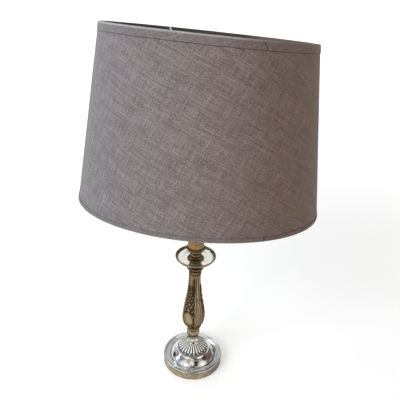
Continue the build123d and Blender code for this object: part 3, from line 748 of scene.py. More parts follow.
p_out = profile(outer, per=10)
p_all = profile([[tuple(q) for q in r] for r in outer] + [[tuple(q) for q in r] for r in inner], per=10)
flag = np.zeros(len(p_all))
flag[: len(p_out) - 40] = 1.0
p3 = np.column_stack([p_all, flag])
seg = 720
phi = np.arange(seg) * 2 * pi / seg
if 0.5 * np.sum(p3[:, 0] * np.roll(p3[:, 1], -1) - np.roll(p3[:, 0], -1) * p3[:, 1]) < 0:
    p3 = p3[::-1].copy()
hh, cc = foot_relief(p3, phi)
# keep the chasing on the outer face only: the inner face is the lower one
d = np.roll(p3[:, :2], -1, 0) - np.roll(p3[:, :2], 1, 0)
nn = np.stack([d[:, 1], -d[:, 0]], -1)
nn /= np.maximum(np.linalg.norm(nn, axis=1), 1e-9)[:, None]
face_up = (nn[:, 1] > 0.05) | (nn[:, 0] > 0.6)
hh *= face_up[None, :]
cc *= face_up[None, :]
# hand-worked unevenness, and a few shallow dents in the skirt
X0 = p3[None, :, 0] * np.cos(phi)[:, None]
Y0 = p3[None, :, 0] * np.sin(phi)[:, None]
Z0 = np.broadcast_to(p3[None, :, 1], X0.shape)
wav = value_noise(np.stack([X0, Y0, Z0 * 1.0], -1) / 16.0, 3, 3)
dent = np.exp(-(((phi[:, None] + radians(40) + pi) % (2 * pi) - pi) * 55 / 15.0) ** 2)
skirt_zone = smooth(12.4 - Z0, 0.0, 3.0) * (X0 ** 2 + Y0 ** 2 > 52.5 ** 2)
lump = value_noise(np.stack([X0 / 7.0, Y0 / 7.0, Z0 / 9.0], -1), 8, 2)
side = np.where(nn[:, 0] * 1.0 >= 0, 1.0, -1.0)[None, :]
hh = hh + 0.05 * wav * face_up[None, :] * (Z0 > 12.4) + skirt_zone * side * (0.45 * lump + 0.1 * wav - 0.75 * dent)
R = p3[None, :, 0] + hh * nn[None, :, 0]
Z = p3[None, :, 1] + hh * nn[None, :, 1]
V = np.stack([R * np.cos(phi)[:, None], R * np.sin(phi)[:, None], Z], -1) * MM
skirt_a = np.clip((13.2 - Z0) / 0.9, 0, 1) * ((X0 ** 2 + Y0 ** 2) > 53.9 ** 2)
rim_line = np.exp(-((Z0 - 12.5) / 0.5) ** 2) * (X0 ** 2 + Y0 ** 2 > 53.9 ** 2) * 0.9
rim_edge = np.clip((np.sqrt(X0 ** 2 + Y0 ** 2) - 54.55) / 0.35, 0, 1) * (Z0 > 12.4)
step_z = 0.45 * np.exp(-((np.sqrt(X0 ** 2 + Y0 ** 2) - 43.0) / 1.3) ** 2) * (Z0 > 11.9)
step_line = 0.75 * np.exp(-((X0 ** 2 + Y0 ** 2) ** 0.5 - 27.8) ** 2 / 0.5) * (Z0 > 26.9)
foot_cav = np.maximum(np.maximum(cc, rim_line), np.maximum(step_line, step_z) * face_up[None, :])
# broad tarnish left in the chasing: (degrees, radius) runs, half-width in mm and depth of colour
radius0 = np.sqrt(X0 ** 2 + Y0 ** 2)
stain = np.zeros_like(X0)
for run, wide, deep in (
        ([(41, 37.6), (36, 41.0), (29, 43.8), (20, 45.4), (11, 44.6), (3, 42.2), (-1, 40.2), (1, 37.6)], 2.4, 1.15),
        ([(-12, 33.0), (-18, 36.4), (-26, 41.0), (-34, 44.6), (-44, 46.8)], 1.2, 0.8),
        ([(150, 44.0), (140, 42.6), (128, 43.4), (114, 43.8)], 3.4, 0.85),
        ([(72, 45.6), (62, 45.0), (54, 46.2)], 3.0, 0.8),
        ([(-92, 38.0), (-95, 42.5), (-101, 46.0)], 0.8, 0.8),
        ([(-104, 38.0), (-100, 42.5), (-96, 46.0)], 0.8, 0.6),
        ([(-128, 37.0), (-133, 41.0), (-136, 44.5)], 1.0, 0.8)):
    c = np.array([(q[1] * cos(radians(q[0])), q[1] * sin(radians(q[0]))) for q in catmull(run, 6)])
    dist2 = np.full(X0.shape, 1e9)
    for q in c:
        dist2 = np.minimum(dist2, (X0 - q[0]) ** 2 + (Y0 - q[1]) ** 2)
    stain = np.maximum(stain, deep * np.exp(-dist2 / wide ** 2))
stain *= (0.78 + 0.5 * value_noise(np.stack([X0 / 1.7, Y0 / 1.7, Z0 * 0], -1), 17, 2)) * face_up[None, :] * (radius0 > 30.5) * (radius0 < 51.0)
foot_cav = np.clip(np.maximum(foot_cav, stain), 0, 1)
foot = grid_object("foot_shell_chased", V, attrs={"cav": foot_cav, "skirt": skirt_a, "edge": rim_edge}, body="stand", material=foot_plate)
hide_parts("foot_shell")

# ------------------------------------------------------------------ gadrooned collar
NP = 28
c_prof = profile([
    [(5.2, 27.5), (26.9, 27.5)],
    [(26.9, 27.5), (27.05, 28.2), (26.6, 29.2), (25.2, 30.0), (24.2, 31.2), (23.9, 32.8), (24.2, 34.0)],
    [(24.2, 34.0), (24.9, 34.6), (24.9, 35.9), (23.4, 37.1), (21.2, 38.3), (18.4, 39.6), (15.6, 40.8), (13.6, 41.6), (12.4, 42.0)],
    [(12.4, 42.0), (5.2, 42.1)],
    [(5.2, 42.1), (5.2, 27.5)],
], per=9)


def petals(P, phi):
    r, z = P[:, 0], P[:, 1]
    on = (z > 34.1) & (r > 12.6)
    t = np.clip((r - 12.6) / (24.9 - 12.6), 0, 1)
    a = (phi * NP / (2 * pi)) % 1.0 - 0.5
    lobe = np.sqrt(np.clip(1 - (a / 0.47) ** 2, 0, 1))
    env = (0.5 + 1.25 * t) * np.where(z < 35.8, np.clip((z - 34.1) / 1.7, 0, 1) ** 0.5, 1.0)
    return (lobe[:, None] - 0.45) * (env * on)[None, :]


def petal_cav(P, phi, h):
    r, z = P[:, 0], P[:, 1]
    a = np.abs((phi * NP / (2 * pi)) % 1.0 - 0.5)
    groove = np.clip((a - 0.20) / 0.07, 0, 1)[:, None] * ((z > 33.9) & (r > 12.9))[None, :]
    band = ((z > 28.4) & (z < 34.5) & (r > 20)).astype(float)[None, :] * np.ones((len(phi), 1)) * 0.97
    return {"cav": np.maximum(groove * 1.0, band)}


collar = lathe("gadroon_collar_cast", c_prof, NP * 26, petals, petal_cav, material=cast)
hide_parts("gadroon_collar")
parts = []
for k in range(20):
    a = 2 * pi * (k + 0.35) / 20
    parts.append(ball((25.4 * cos(a), 25.4 * sin(a), 31.6), 1.75, nu=20, nv=14))
beads = raw_object("collar_beads", parts, bead_metal)

# ------------------------------------------------------------------ turned pieces of the candlestick


def ring_cav(spots):
    """Dark lines in the hollows of a turned piece, at the given (r, z, width)."""
    def f(P, phi, h):
        c = np.zeros(len(P))
        for r, z, w in spots:
            c = np.maximum(c, np.exp(-((P[:, 0] - r) ** 2 + (P[:, 1] - z) ** 2) / w ** 2))
        return {"cav": np.broadcast_to(c[None, :], (len(phi), len(P))) * 0.9}
    return f


def knop_cav(P, phi, h):
    rings = ring_cav([(9.6, 60.8, 1.3), (9.95, 75.5, 1.6), (9.5, 57.0, 1.6), (12.6, 42.5, 1.0), (10.8, 80.0, 0.9)])(P, phi, h)["cav"]
    # painted reflection: dark vertical strokes at set angles, in bands on the bell and the bead
    painted_reflection_strokes = np.zeros(len(phi))
    for a, w, k in ((-121, 6, 0.75), (-104, 4, 0.62), (-78, 4.5, 0.75), (-58, 6, 0.6), (-20, 7, 0.7), (15, 6, 0.6), (50, 7, 0.7), (88, 6, 0.6), (122, 7, 0.7), (160, 6, 0.6)):
        off = (phi - radians(a) + pi) % (2 * pi) - pi
        painted_reflection_strokes = np.maximum(painted_reflection_strokes, k * np.exp(-(off / radians(w)) ** 2))
    zone = np.clip(np.exp(-((P[:, 1] - 49.0) / 6.5) ** 2) + 0.8 * np.exp(-((P[:, 1] - 69.0) / 3.6) ** 2), 0, 1)
    return {"cav": np.maximum(rings, painted_reflection_strokes[:, None] * zone[None, :])}


knop = lathe("foot_knop_turned", profile([
    [(5.2, 42.25), (12.5, 42.25)],
    [(12.5, 42.25), (13.2, 43.0), (13.35, 44.2), (12.9, 45.8), (11.8, 47.6), (10.7, 49.6), (9.9, 52.2), (9.45, 55.8), (9.45, 59.6)],
    [(9.45, 59.6), (9.6, 60.8), (10.2, 62.0)],
    [(10.2, 62.0), (11.2, 64.2), (11.75, 67.0), (11.75, 69.8), (11.2, 72.4), (10.3, 74.4)],
    [(10.3, 74.4), (9.95, 75.4), (10.1, 76.4)],
    [(10.1, 76.4), (11.1, 77.2), (11.4, 78.4), (11.2, 79.5), (10.8, 80.1)],
    [(10.8, 80.1), (5.2, 80.1)],
    [(5.2, 80.1), (5.2, 42.25)]], per=8), 160,
    attr=knop_cav, material=pale_wear_and_painted_reflection)
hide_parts("foot_knop")

stem_collar = lathe("stem_collar_turned", profile([
    [(5.2, 200.6), (10.6, 200.6)],
    [(10.6, 200.6), (10.95, 201.4), (10.7, 202.4)],
    [(10.7, 202.4), (10.9, 204.4), (11.6, 206.8), (12.8, 209.6), (14.2, 212.0), (14.9, 213.2), (15.0, 214.3), (14.4, 215.4), (13.2, 216.1)],
    [(13.2, 216.1), (5.2, 216.1)],
    [(5.2, 216.1), (5.2, 200.6)]], per=8), 160, attr=ring_cav([(10.7, 202.2, 0.9), (14.6, 216.0, 1.4)]), material=shaded_wear_and_painted_reflection)
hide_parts("stem_collar")

pan_neck = lathe("pan_neck_turned", profile([
    [(5.2, 216.35), (12.3, 216.35)],
    [(12.3, 216.35), (11.4, 217.4), (10.5, 219.4), (10.3, 221.8), (11.0, 224.2), (12.9, 226.7), (15.4, 228.5), (17.3, 229.2)],
    [(17.3, 229.2), (17.3, 229.7)],
    [(17.3, 229.7), (5.2, 229.7)],
    [(5.2, 229.7), (5.2, 216.35)]], per=8), 128, attr=ring_cav([(12.2, 216.4, 1.2), (17.3, 229.4, 1.2)]), material=shaded_wear_and_painted_reflection)
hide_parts("pan_neck")


def pan_wave(P, phi):
    X = np.stack([P[None, :, 0] * np.cos(phi)[:, None], P[None, :, 0] * np.sin(phi)[:, None], np.broadcast_to(P[None, :, 1], (len(phi), len(P)))], -1)
    w = value_noise(X / 14.0, 11, 2) * 0.035
    return w * (P[:, 0] > 8.0)[None, :]


def pan_cav(P, phi, h):
    r, z = P[:, 0], P[:, 1]
    edge = np.exp(-((r - 32.3) / 0.9) ** 2) * (z > 233.0)
    under = (np.where(z < 235.4, 1.0, 0.0) * np.where(r > 33.1, 1.0, 0.0)) * 0.8
    rim = np.clip((r - 32.8) / 0.7, 0, 1) * 0.78
    c = np.maximum(np.maximum(edge * 0.9, under), rim * 0.25)
    # the rim is worn brown; the brown sector in the front of the dish is a painted reflection
    rim_wear_and_painted_reflection = np.maximum(smooth(r, 30.6, 32.2)[None, :], 0.92 * smooth(r, 23.5, 28.5)[None, :] * smooth(-np.sin(phi), 0.45, 0.80)[:, None])
    return {"cav": np.broadcast_to(c[None, :], (len(phi), len(P))), "edge": rim_wear_and_painted_reflection}


pan = lathe("drip_pan_spun", profile([
    [(5.2, 229.8), (20.0, 229.8), (26.0, 229.85), (29.6, 230.2), (31.8, 231.3), (33.0, 233.0), (33.7, 234.3)],
    [(33.7, 234.3), (34.6, 234.9), (35.0, 236.0), (34.95, 236.9), (34.4, 237.5), (33.6, 237.4), (33.0, 236.7), (32.6, 235.7)],
    [(32.6, 235.7), (31.9, 233.9), (30.9, 232.3), (29.4, 231.4), (27.0, 231.05), (20.0, 231.0), (11.0, 231.0), (5.2, 231.0)],
    [(5.2, 231.0), (5.2, 229.8)]], per=10), 256, pan_wave, pan_cav, material=pan_plate)
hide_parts("drip_pan")

cup_knob = lathe("cup_knob_turned", profile([
    [(5.2, 231.1), (14.2, 231.1)],
    [(14.2, 231.1), (14.5, 231.8), (13.8, 232.5), (11.8, 233.0), (9.8, 233.6)],
    [(9.8, 233.6), (8.5, 234.5), (8.3, 235.7)],
    [(8.3, 235.7), (9.1, 236.9), (9.8, 238.4), (9.8, 240.0), (9.0, 241.3), (7.8, 242.0)],
    [(7.8, 242.0), (7.4, 242.5)],
    [(7.4, 242.5), (5.2, 242.5)],
    [(5.2, 242.5), (5.2, 231.1)]], per=8), 128,
    attr=ring_cav([(8.5, 235.0, 1.4), (12.0, 233.2, 1.8), (14.4, 231.4, 0.9), (7.6, 242.3, 0.8)]), material=wear_and_painted_reflection)
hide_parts("cup_knob")


def rope(P, phi):
    r, z = P[:, 0], P[:, 1]
    lip = (r > 14.3) & (z > 251.2)
    ang = np.arctan2(z - 252.75, r - 14.6)
    tw = np.abs(np.sin(17 * phi[:, None] + 1.15 * ang[None, :]))
    return (0.42 * (tw ** 0.6) - 0.30) * lip[None, :]


def rope_cav(P, phi, h):
    r, z = P[:, 0], P[:, 1]
    lip = (r > 14.0) & (z > 251.0)
    ang = np.arctan2(z - 252.75, r - 14.6)
    tw = np.abs(np.sin(17 * phi[:, None] + 1.15 * ang[None, :]))
    c = np.clip(1 - tw * 1.5, 0, 1) * lip[None, :]
    under = np.exp(-((z - 250.6) / 1.0) ** 2) * (r > 12.5) * 0.8
    return {"cav": np.maximum(np.maximum(c, under[None, :]), 0.55 * lip[None, :])}


cup = lathe("candle_cup_cast", profile([
    [(5.2, 242.6), (7.4, 242.6)],
    [(7.4, 242.6), (9.6, 243.4), (11.8, 245.2), (13.1, 247.8), (13.7, 250.2), (14.3, 251.2)],
    [(14.3, 251.2), (15.4, 251.45), (16.2, 252.1), (16.4, 252.9), (16.1, 253.7), (15.3, 254.2), (14.2, 254.3)],
    [(14.2, 254.3), (12.9, 254.25)],
    [(12.9, 254.25), (12.6, 253.6), (12.6, 247.0)],
    [(12.6, 247.0), (10.8, 245.2)],
    [(10.8, 245.2), (5.2, 245.2)],
    [(5.2, 245.2), (5.2, 242.6)]], per=9), 408, rope, rope_cav, material=wear_and_painted_reflection)
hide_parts("candle_cup")


def plug_cav(P, phi, h):
    r, z = P[:, 0], P[:, 1]
    c = np.exp(-((z - 265.4) / 0.55) ** 2) * (r > 12.9) * 0.75
    c = np.maximum(c, np.clip((z - 269.3) / 1.2, 0, 1) * 0.9)
    c = np.maximum(c, np.exp(-((z - 254.7) / 0.6) ** 2) * 0.8)
    return {"cav": np.broadcast_to(c[None, :], (len(phi), len(P)))}


plug = lathe("brass_plug_turned", profile([
    [(5.2, 247.4), (10.5, 247.4)],
    [(10.5, 247.4), (10.5, 254.5)],
    [(10.5, 254.5), (13.2, 254.5)],
    [(13.2, 254.5), (13.75, 254.8), (13.95, 255.5)],
    [(13.95, 255.5), (13.95, 264.6)],
    [(13.95, 264.6), (13.55, 265.0), (13.45, 265.4), (13.55, 265.8), (13.95, 266.2)],
    [(13.95, 266.2), (13.95, 269.3)],
    [(13.95, 269.3), (13.6, 270.2), (12.6, 270.6), (11.6, 270.7)],
    [(11.6, 270.7), (5.2, 270.7)],
    [(5.2, 270.7), (5.2, 247.4)]], per=7), 192, attr=plug_cav, material=brass)
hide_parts("brass_plug")

riser = lathe("riser_tube_drawn", profile([
    [(5.2, 270.8), (9.6, 270.8)], [(9.6, 270.8), (9.9, 271.2), (9.9, 272.0)], [(9.9, 272.0), (9.9, 316.8)],
    [(9.9, 316.8), (9.9, 317.5), (9.6, 317.9)], [(9.6, 317.9), (5.2, 317.9)], [(5.2, 317.9), (5.2, 270.8)]], per=6), 96,
    attr=ring_cav([(9.9, 271.2, 1.4), (9.9, 317.6, 1.2)]), material=brass)
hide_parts("riser_tube")

holder_cap = lathe("holder_cap_spun", profile([
    [(5.2, 318.0), (9.0, 318.0)],
    [(9.0, 318.0), (12.4, 318.9), (16.0, 321.4), (18.6, 325.2), (19.9, 329.6), (20.1, 332.6)],
    [(20.1, 332.6), (20.55, 333.4), (20.3, 334.3)],
    [(20.3, 334.3), (20.3, 340.4), (20.2, 341.1), (19.8, 341.4)],
    [(19.8, 341.4), (19.3, 341.3)],
    [(19.3, 341.3), (19.3, 333.8), (18.8, 329.8), (17.6, 326.0), (15.4, 322.9), (12.0, 320.2), (8.8, 319.2)],
    [(8.8, 319.2), (5.2, 319.2)],
    [(5.2, 319.2), (5.2, 318.0)]], per=8), 144, attr=ring_cav([(20.1, 332.8, 0.8), (20.3, 334.4, 0.8), (9.2, 318.1, 1.6)]), material=brass)
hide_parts("holder_cap")


def helix(pitch, amp, z0, z1, rmin):
    """A right-hand thread cut into the outside between two heights."""
    def f(P, phi):
        r, z = P[:, 0], P[:, 1]
        on = np.clip((z - z0) / 0.8, 0, 1) * np.clip((z1 - z) / 0.8, 0, 1) * (r > rmin)
        return -amp * (0.5 - 0.5 * np.cos(2 * pi * (z[None, :] / pitch - phi[:, None] / (2 * pi)))) * on[None, :]
    return f


def fine_run(r, z0, z1, step):
    return [[(r, z), (r, min(z + step, z1))] for z in np.arange(z0, z1 - 1e-6, step)]


sleeve_pts = [(18.4, 336.0), (19.2, 336.0), (19.2, 341.9)] + [(19.4, z) for z in np.arange(342.0, 375.61, 0.35)] + [(19.2, 375.95), (18.8, 376.0), (18.4, 375.8)]
sleeve = lathe("holder_sleeve_threaded", np.array(sleeve_pts), 120, helix(2.0, 0.55, 343.5, 373.0, 19.3), ring_cav([(19.2, 342.0, 0.8)]), material=brass)
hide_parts("holder_sleeve")

# ------------------------------------------------------------------ baluster
STEM = [(80.2, 11.0), (82.6, 13.2), (86.0, 15.8), (91.0, 18.1), (97.5, 19.8), (107.0, 20.9), (118.5, 20.2), (134.0, 17.6), (148.0, 15.1),
        (162.0, 13.2), (176.0, 11.8), (188.0, 10.9), (200.5, 10.9)]
HALF, TURN = radians(41.0), radians(-3.0)


def panel_shape(a):
    """Polar radius of the six-sided section and the signed angle to the panel's middle."""
    q = (a - TURN + HALF) % (2 * pi / 3) - HALF
    broad = np.abs(q) <= HALF
    cx, rho = -0.3853, 1.3153
    rb = cx * np.cos(q) + np.sqrt(rho ** 2 - (cx * np.sin(q)) ** 2)
    q2 = q - pi / 3
    cx2 = (1 - 0.97 ** 2) / (2 * cos(radians(19.0)) - 1.94)
    rho2 = 0.97 - cx2
    rn = cx2 * np.cos(q2) + np.sqrt(rho2 ** 2 - (cx2 * np.sin(q2)) ** 2)
    return np.where(broad, rb, rn), q, broad


FLOWERS = [(0.0, 128.5, 4.5), (-5.2, 134.8, 3.3), (5.0, 136.0, 3.2), (0.4, 140.5, 3.6), (-4.0, 145.8, 2.7), (3.8, 148.4, 2.7),
           (-0.4, 152.5, 2.9), (-2.4, 159.0, 2.1), (2.4, 161.0, 2.0), (0.0, 165.5, 2.2), (0.3, 170.6, 1.5)]
SPRIGS = [(-8.5, 126.5, 3.4, 1.3, 2.2), (8.4, 127.5, 3.4, 1.3, 0.9), (-7.8, 140.6, 2.8, 1.0, 1.9), (7.4, 142.6, 2.8, 1.0, 1.2), (-5.8, 152.2, 2.6, 0.9, 1.9),
          (5.4, 155.0, 2.6, 0.9, 1.2), (-3.2, 165.0, 2.2, 0.8, 1.8), (3.0, 167.6, 2.0, 0.8, 1.3), (0.0, 175.0, 2.6, 0.8, 1.57),
          (-10.6, 116.0, 3.8, 1.3, 1.9), (10.6, 116.0, 3.8, 1.3, 1.24), (-11.6, 104.5, 3.6, 1.1, 1.57), (11.6, 104.5, 3.6, 1.1, 1.57),
          (-9.6, 95.2, 3.0, 1.1, 2.2), (9.6, 95.2, 3.0, 1.1, 0.94), (-4.4, 90.4, 2.6, 1.0, 2.7), (4.4, 90.4, 2.6, 1.0, 0.44)]


def panel_relief(u, z, room):
    """Height (mm) and darkness of the relief on a broad panel; u is the distance
    from its middle, room the panel's half-width."""
    zone = smooth(z, 85.0, 89.0) * (1 - smooth(z, 176.0, 181.0)) * (1 - smooth(np.abs(u), 0.80 * room, 0.90 * room))
    q = np.hypot(u / 9.2, (z - 107.4) / 14.2)
    oval = np.where(q < 1, 0.35 + 0.85 * np.sqrt(np.clip(1 - q * q, 0, 1)), 0)
    rim = 0.75 * np.exp(-((q - 1.10) / 0.055) ** 2) * (0.8 + 0.2 * np.cos(40 * np.arctan2(z - 107.4, u)))
    h = np.maximum(oval, rim)
    for cu, cz, s in FLOWERS:
        rr, th = np.hypot(u - cu, z - cz), np.arctan2(z - cz, u - cu)
        edge = s * (0.80 + 0.20 * np.cos(5 * th + cz))
        f = 0.95 * (1 - smooth(rr, 0.62 * edge, edge)) * (0.72 + 0.28 * np.cos(5 * th + cz)) + 0.5 * np.exp(-(rr / (0.26 * s)) ** 2)
        h = np.maximum(h, f)
    for cu, cz, ln, wd, an in SPRIGS:
        du, dz = u - cu, z - cz
        a = (du * cos(an) + dz * sin(an)) / ln
        b = (-du * sin(an) + dz * cos(an)) / wd
        f = 0.85 * np.exp(-(a * a + b * b) ** 2) * (1 - 0.45 * np.exp(-(b / 0.2) ** 2))
        h = np.maximum(h, f)
    stalk = 0.4 * np.exp(-((u - 1.2 * np.sin(z / 6.0)) / 0.55) ** 2) * smooth(z, 123, 127) * (1 - smooth(z, 168, 176))
    h = np.maximum(h, stalk)
    ground = (1 - smooth(h, 0.05, 0.45)) * zone * (q > 1.03)
    return (h * 1.05 - 0.55 * (q > 1.0) * (1 - smooth(h, 0.0, 0.5))) * zone, ground


def make_baluster():
    n, m = 432, 400
    phi = np.arange(n) * 2 * pi / n
    zz = np.concatenate([np.linspace(80.2, 88, 46), np.linspace(88.3, 180, 300), np.linspace(180.5, 200.5, 54)])
    rad = np.interp(zz, *zip(*[(p[1], p[0]) for p in catmull([(r, z) for z, r in STEM], 14)]))
    A, Zg = np.meshgrid(phi, zz, indexing="ij")
    shape, q, broad = panel_shape(A)
    fade = smooth(Zg, 80.2, 85.0) * (1 - smooth(Zg, 195.0, 200.5))
    Rr = rad[None, :]
    base = Rr * (1 + (shape - 1) * (0.35 + 0.65 * fade))
    # ribs at the panels' edges, with a fine groove each side
    dist = np.where(broad, HALF - np.abs(q), np.abs(np.abs(q - pi / 3) - (pi / 3 - HALF)))
    dmm = dist * Rr
    rib = 0.75 * np.exp(-(dmm / 0.75) ** 2) - 0.42 * np.exp(-((dmm - 1.75) / 0.62) ** 2)
    rib *= fade
    rib_cav = 0.95 * np.exp(-((dmm - 1.8) / 0.85) ** 2) * fade
    u = q * Rr
    rel, ground = panel_relief(u, Zg, HALF * Rr)
    rel = np.where(broad, rel, 0)
    ground = np.where(broad, ground, 0)
    # plain flutes on the narrow panels: one faint bead line down the middle
    mid = np.where(broad, 0, 0.16 * np.exp(-(((q - pi / 3) * Rr) / 0.8) ** 2)) * fade
    R = base + rib + rel + mid
    wave = value_noise(np.stack([R * np.cos(A), R * np.sin(A), Zg], -1) / 12.0, 5, 2) * 0.10
    R = R + wave * fade
    collar_cav = np.maximum(np.exp(-((Zg - 200.4) / 1.0) ** 2), np.exp(-((Zg - 80.5) / 1.4) ** 2)) * 0.8
    low_cav = 0.55 * np.exp(-((Zg - 84.0) / 3.0) ** 2)
    # painted shade: in the upper part, one half of each broad panel is darkened
    turned = np.where(broad, 0.92 * smooth(q / HALF, 0.0, 0.5) * smooth(Zg, 150, 172) * (1 - smooth(Zg, 190, 198)), 0)
    groove = np.where(broad, 0.92 * np.exp(-((dmm - 2.5) / 1.35) ** 2), 0.35 * np.exp(-((dmm - 8.0) / 2.6) ** 2)) * fade
    cav = np.maximum.reduce([ground * 1.0, rib_cav, collar_cav, low_cav, turned, groove])
    # painted highlights: light lines on the ribs and beside them on the narrow panels, and on the tops of the relief
    painted_highlight = np.maximum.reduce([0.95 * np.exp(-(dmm / 0.9) ** 2) * fade, np.where(broad, 0.62 * smooth(rel, 0.40, 0.85), 0.50 * np.exp(-((dmm - 3.6) / 1.2) ** 2) * fade)])
    # close the wall down the bore
    V = np.stack([R * np.cos(A), R * np.sin(A), Zg], -1)
    bore = np.array([(8.0, 200.5), (5.2, 200.5), (5.2, 80.2), (8.0, 80.2)])
    B = np.stack([np.stack([b[0] * np.cos(phi), b[0] * np.sin(phi), np.full(n, b[1])], -1) for b in bore], 1)
    V = np.concatenate([V, B], 1) * MM
    cav = np.concatenate([cav, np.zeros((n, 4))], 1)
    painted_highlight = np.concatenate([painted_highlight, np.zeros((n, 4))], 1)
    o = grid_object("baluster_chased", V, attrs={"cav": cav, "edge": painted_highlight}, material=chased_wear_and_painted_reflection)
    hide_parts("baluster")
    return o


make_baluster()

# ------------------------------------------------------------------ shade
LEAN, LEAN_MID, LEAN_TOP, SHIFT = (0.0478, 0.1595), (0.0328, 0.1608), (0.0674, 0.0733), (1.8, -2.7)
R_LOW, R_TOP, H_SHADE, DROP, PIVOT = 185.0, 156.75, 248.2, 6.0, 354.1


def unit(v):
    v = np.array(v, float)
    return v / np.linalg.norm(v)


n_low, n_mid, n_top = unit((*LEAN, 1.0)), unit((*LEAN_MID, 1.0)), unit((*LEAN_TOP, 1.0))
low_c = np.array([0, 0, PIVOT]) - n_low * DROP + np.array([SHIFT[0], SHIFT[1], -SHIFT[0] * LEAN[0] - SHIFT[1] * LEAN[1]])
top_c = low_c + n_mid * H_SHADE


def frame_of(t):
    """Centre, x, y and z directions and radius of the shade's circle at t (arrays)."""
    t = np.asarray(t, float)[..., None]
    c = low_c + (top_c - low_c) * t
    n = n_low + (n_top - n_low) * t
    n = n / np.linalg.norm(n, axis=-1, keepdims=True)
    x = np.stack([n[..., 2], np.zeros_like(n[..., 0]), -n[..., 0]], -1)
    x = x / np.linalg.norm(x, axis=-1, keepdims=True)
    y = np.cross(n, x)
    return c, x, y, n, (R_LOW + (R_TOP - R_LOW) * t[..., 0])


def shade_point(t, phi, off, along=0.0):
    """Points of the shade: off is outward from the cloth's outer face and along
    is up the axis, both in mm."""
    c, x, y, n, r = frame_of(t)
    rr = r + off
    return c + x * (rr * np.cos(phi))[..., None] + y * (rr * np.sin(phi))[..., None] + n * np.asarray(along)[..., None]


SIN_A = (R_LOW - R_TOP) / sqrt((R_LOW - R_TOP) ** 2 + H_SHADE ** 2)
SLANT = sqrt((R_LOW - R_TOP) ** 2 + H_SHADE ** 2)
PHI0 = radians(-90.0)      # the middle of the flat cut, at the front


def flat_uv(t, phi_rel):
    """The cloth's flat cut, an annular sector, in metres."""
    s = (R_LOW + (R_TOP - R_LOW) * t) / SIN_A
    th = phi_rel * SIN_A
    return np.stack([s * np.sin(th), s * np.cos(th)], -1) * MM


def make_shade():
    n = 720
    rel = (np.arange(n) / n - 0.5) * 2 * pi            # -pi..pi from the front
    relc = (np.arange(n + 1) / n - 0.5) * 2 * pi
    phi = rel + PHI0
    down = np.concatenate([[0, 2, 4, 6, 8, 9], np.arange(9.4, 12.9, 0.3), [13.4, 14.2, 15.6, 18.0], np.linspace(21.0, SLANT - 9.0, 70), np.arange(SLANT - 7.4, SLANT - 4.0, 0.35),
                           [SLANT - 3.0, SLANT - 1.5, SLANT]])
    t = 1.0 - down[::-1] / SLANT
    m = len(t)
    A, T = np.meshgrid(phi, t, indexing="ij")
    Rl = rel[:, None]
    p = np.stack([np.cos(A) * 2.2, np.sin(A) * 2.2, T * 2.6], -1)
    wave = 0.42 * value_noise(p, 21, 2) * np.sin(pi * np.clip(T, 0.02, 0.98)) + 0.12 * value_noise(p * 4.1, 22, 2)
    # lap of the two ends of the cloth, at the back
    lap = 0.45 * smooth(Rl, pi - 0.065, pi - 0.060)
    out = shade_point(T, A, wave + lap)
    T2 = T[:, ::-1]
    inn = shade_point(T2, A, wave[:, ::-1] - 1.0)
    V = np.concatenate([out, inn], 1) * MM
    tt = np.concatenate([t, t[::-1], t[:1]])
    U = flat_uv(tt[None, :] * np.ones((n + 1, 1)), relc[:, None] * np.ones((1, 2 * m + 1)))
    U[:, m:2 * m] += 0.37
    # the dark line that each tape's edge throws on the cloth
    dn = value_noise(np.stack([np.cos(A) * 30, np.sin(A) * 30, T * 0], -1), 4, 2)
    d_top = (1.0 - T) * SLANT
    d_low = T * SLANT
    wig = tape_edge(A, 10.3, 31)
    line = np.exp(-((d_top - wig - 0.40) / 0.60) ** 2) * (0.88 + 0.4 * dn)
    soft = 0.12 * np.exp(-np.clip(d_top - wig, 0, None) / 1.5)
    wigl = tape_edge(A, 5.0, 33)
    line_low = 0.20 * np.exp(-((d_low - wigl - 0.4) / 0.6) ** 2) * (0.7 + 0.5 * dn)
    lap_line = 0.8 * np.exp(-((Rl - (pi - 0.0645)) * 175.0 / 0.5) ** 2) * np.ones_like(T)
    e = np.maximum.reduce([line, soft, line_low, lap_line])
    edge = np.concatenate([e, np.zeros_like(e)], 1)
    idx = np.zeros((n, 2 * m), int)
    idx[:, m:2 * m - 1] = 1
    o = grid_object("shade_linen", V, uv=U, attrs={"edge": edge}, body="shade", materials=[linen_out, lining], mat_index=idx)
    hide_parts("shade_fabric")
    return o


def tape_edge(A, width, seed):
    """Distance of a tape's edge from the rim, hand-laid and so a little wavy."""
    k = np.stack([np.cos(A) * 5.0, np.sin(A) * 5.0, np.zeros_like(A)], -1)
    return width + 0.45 * value_noise(k, seed, 3)


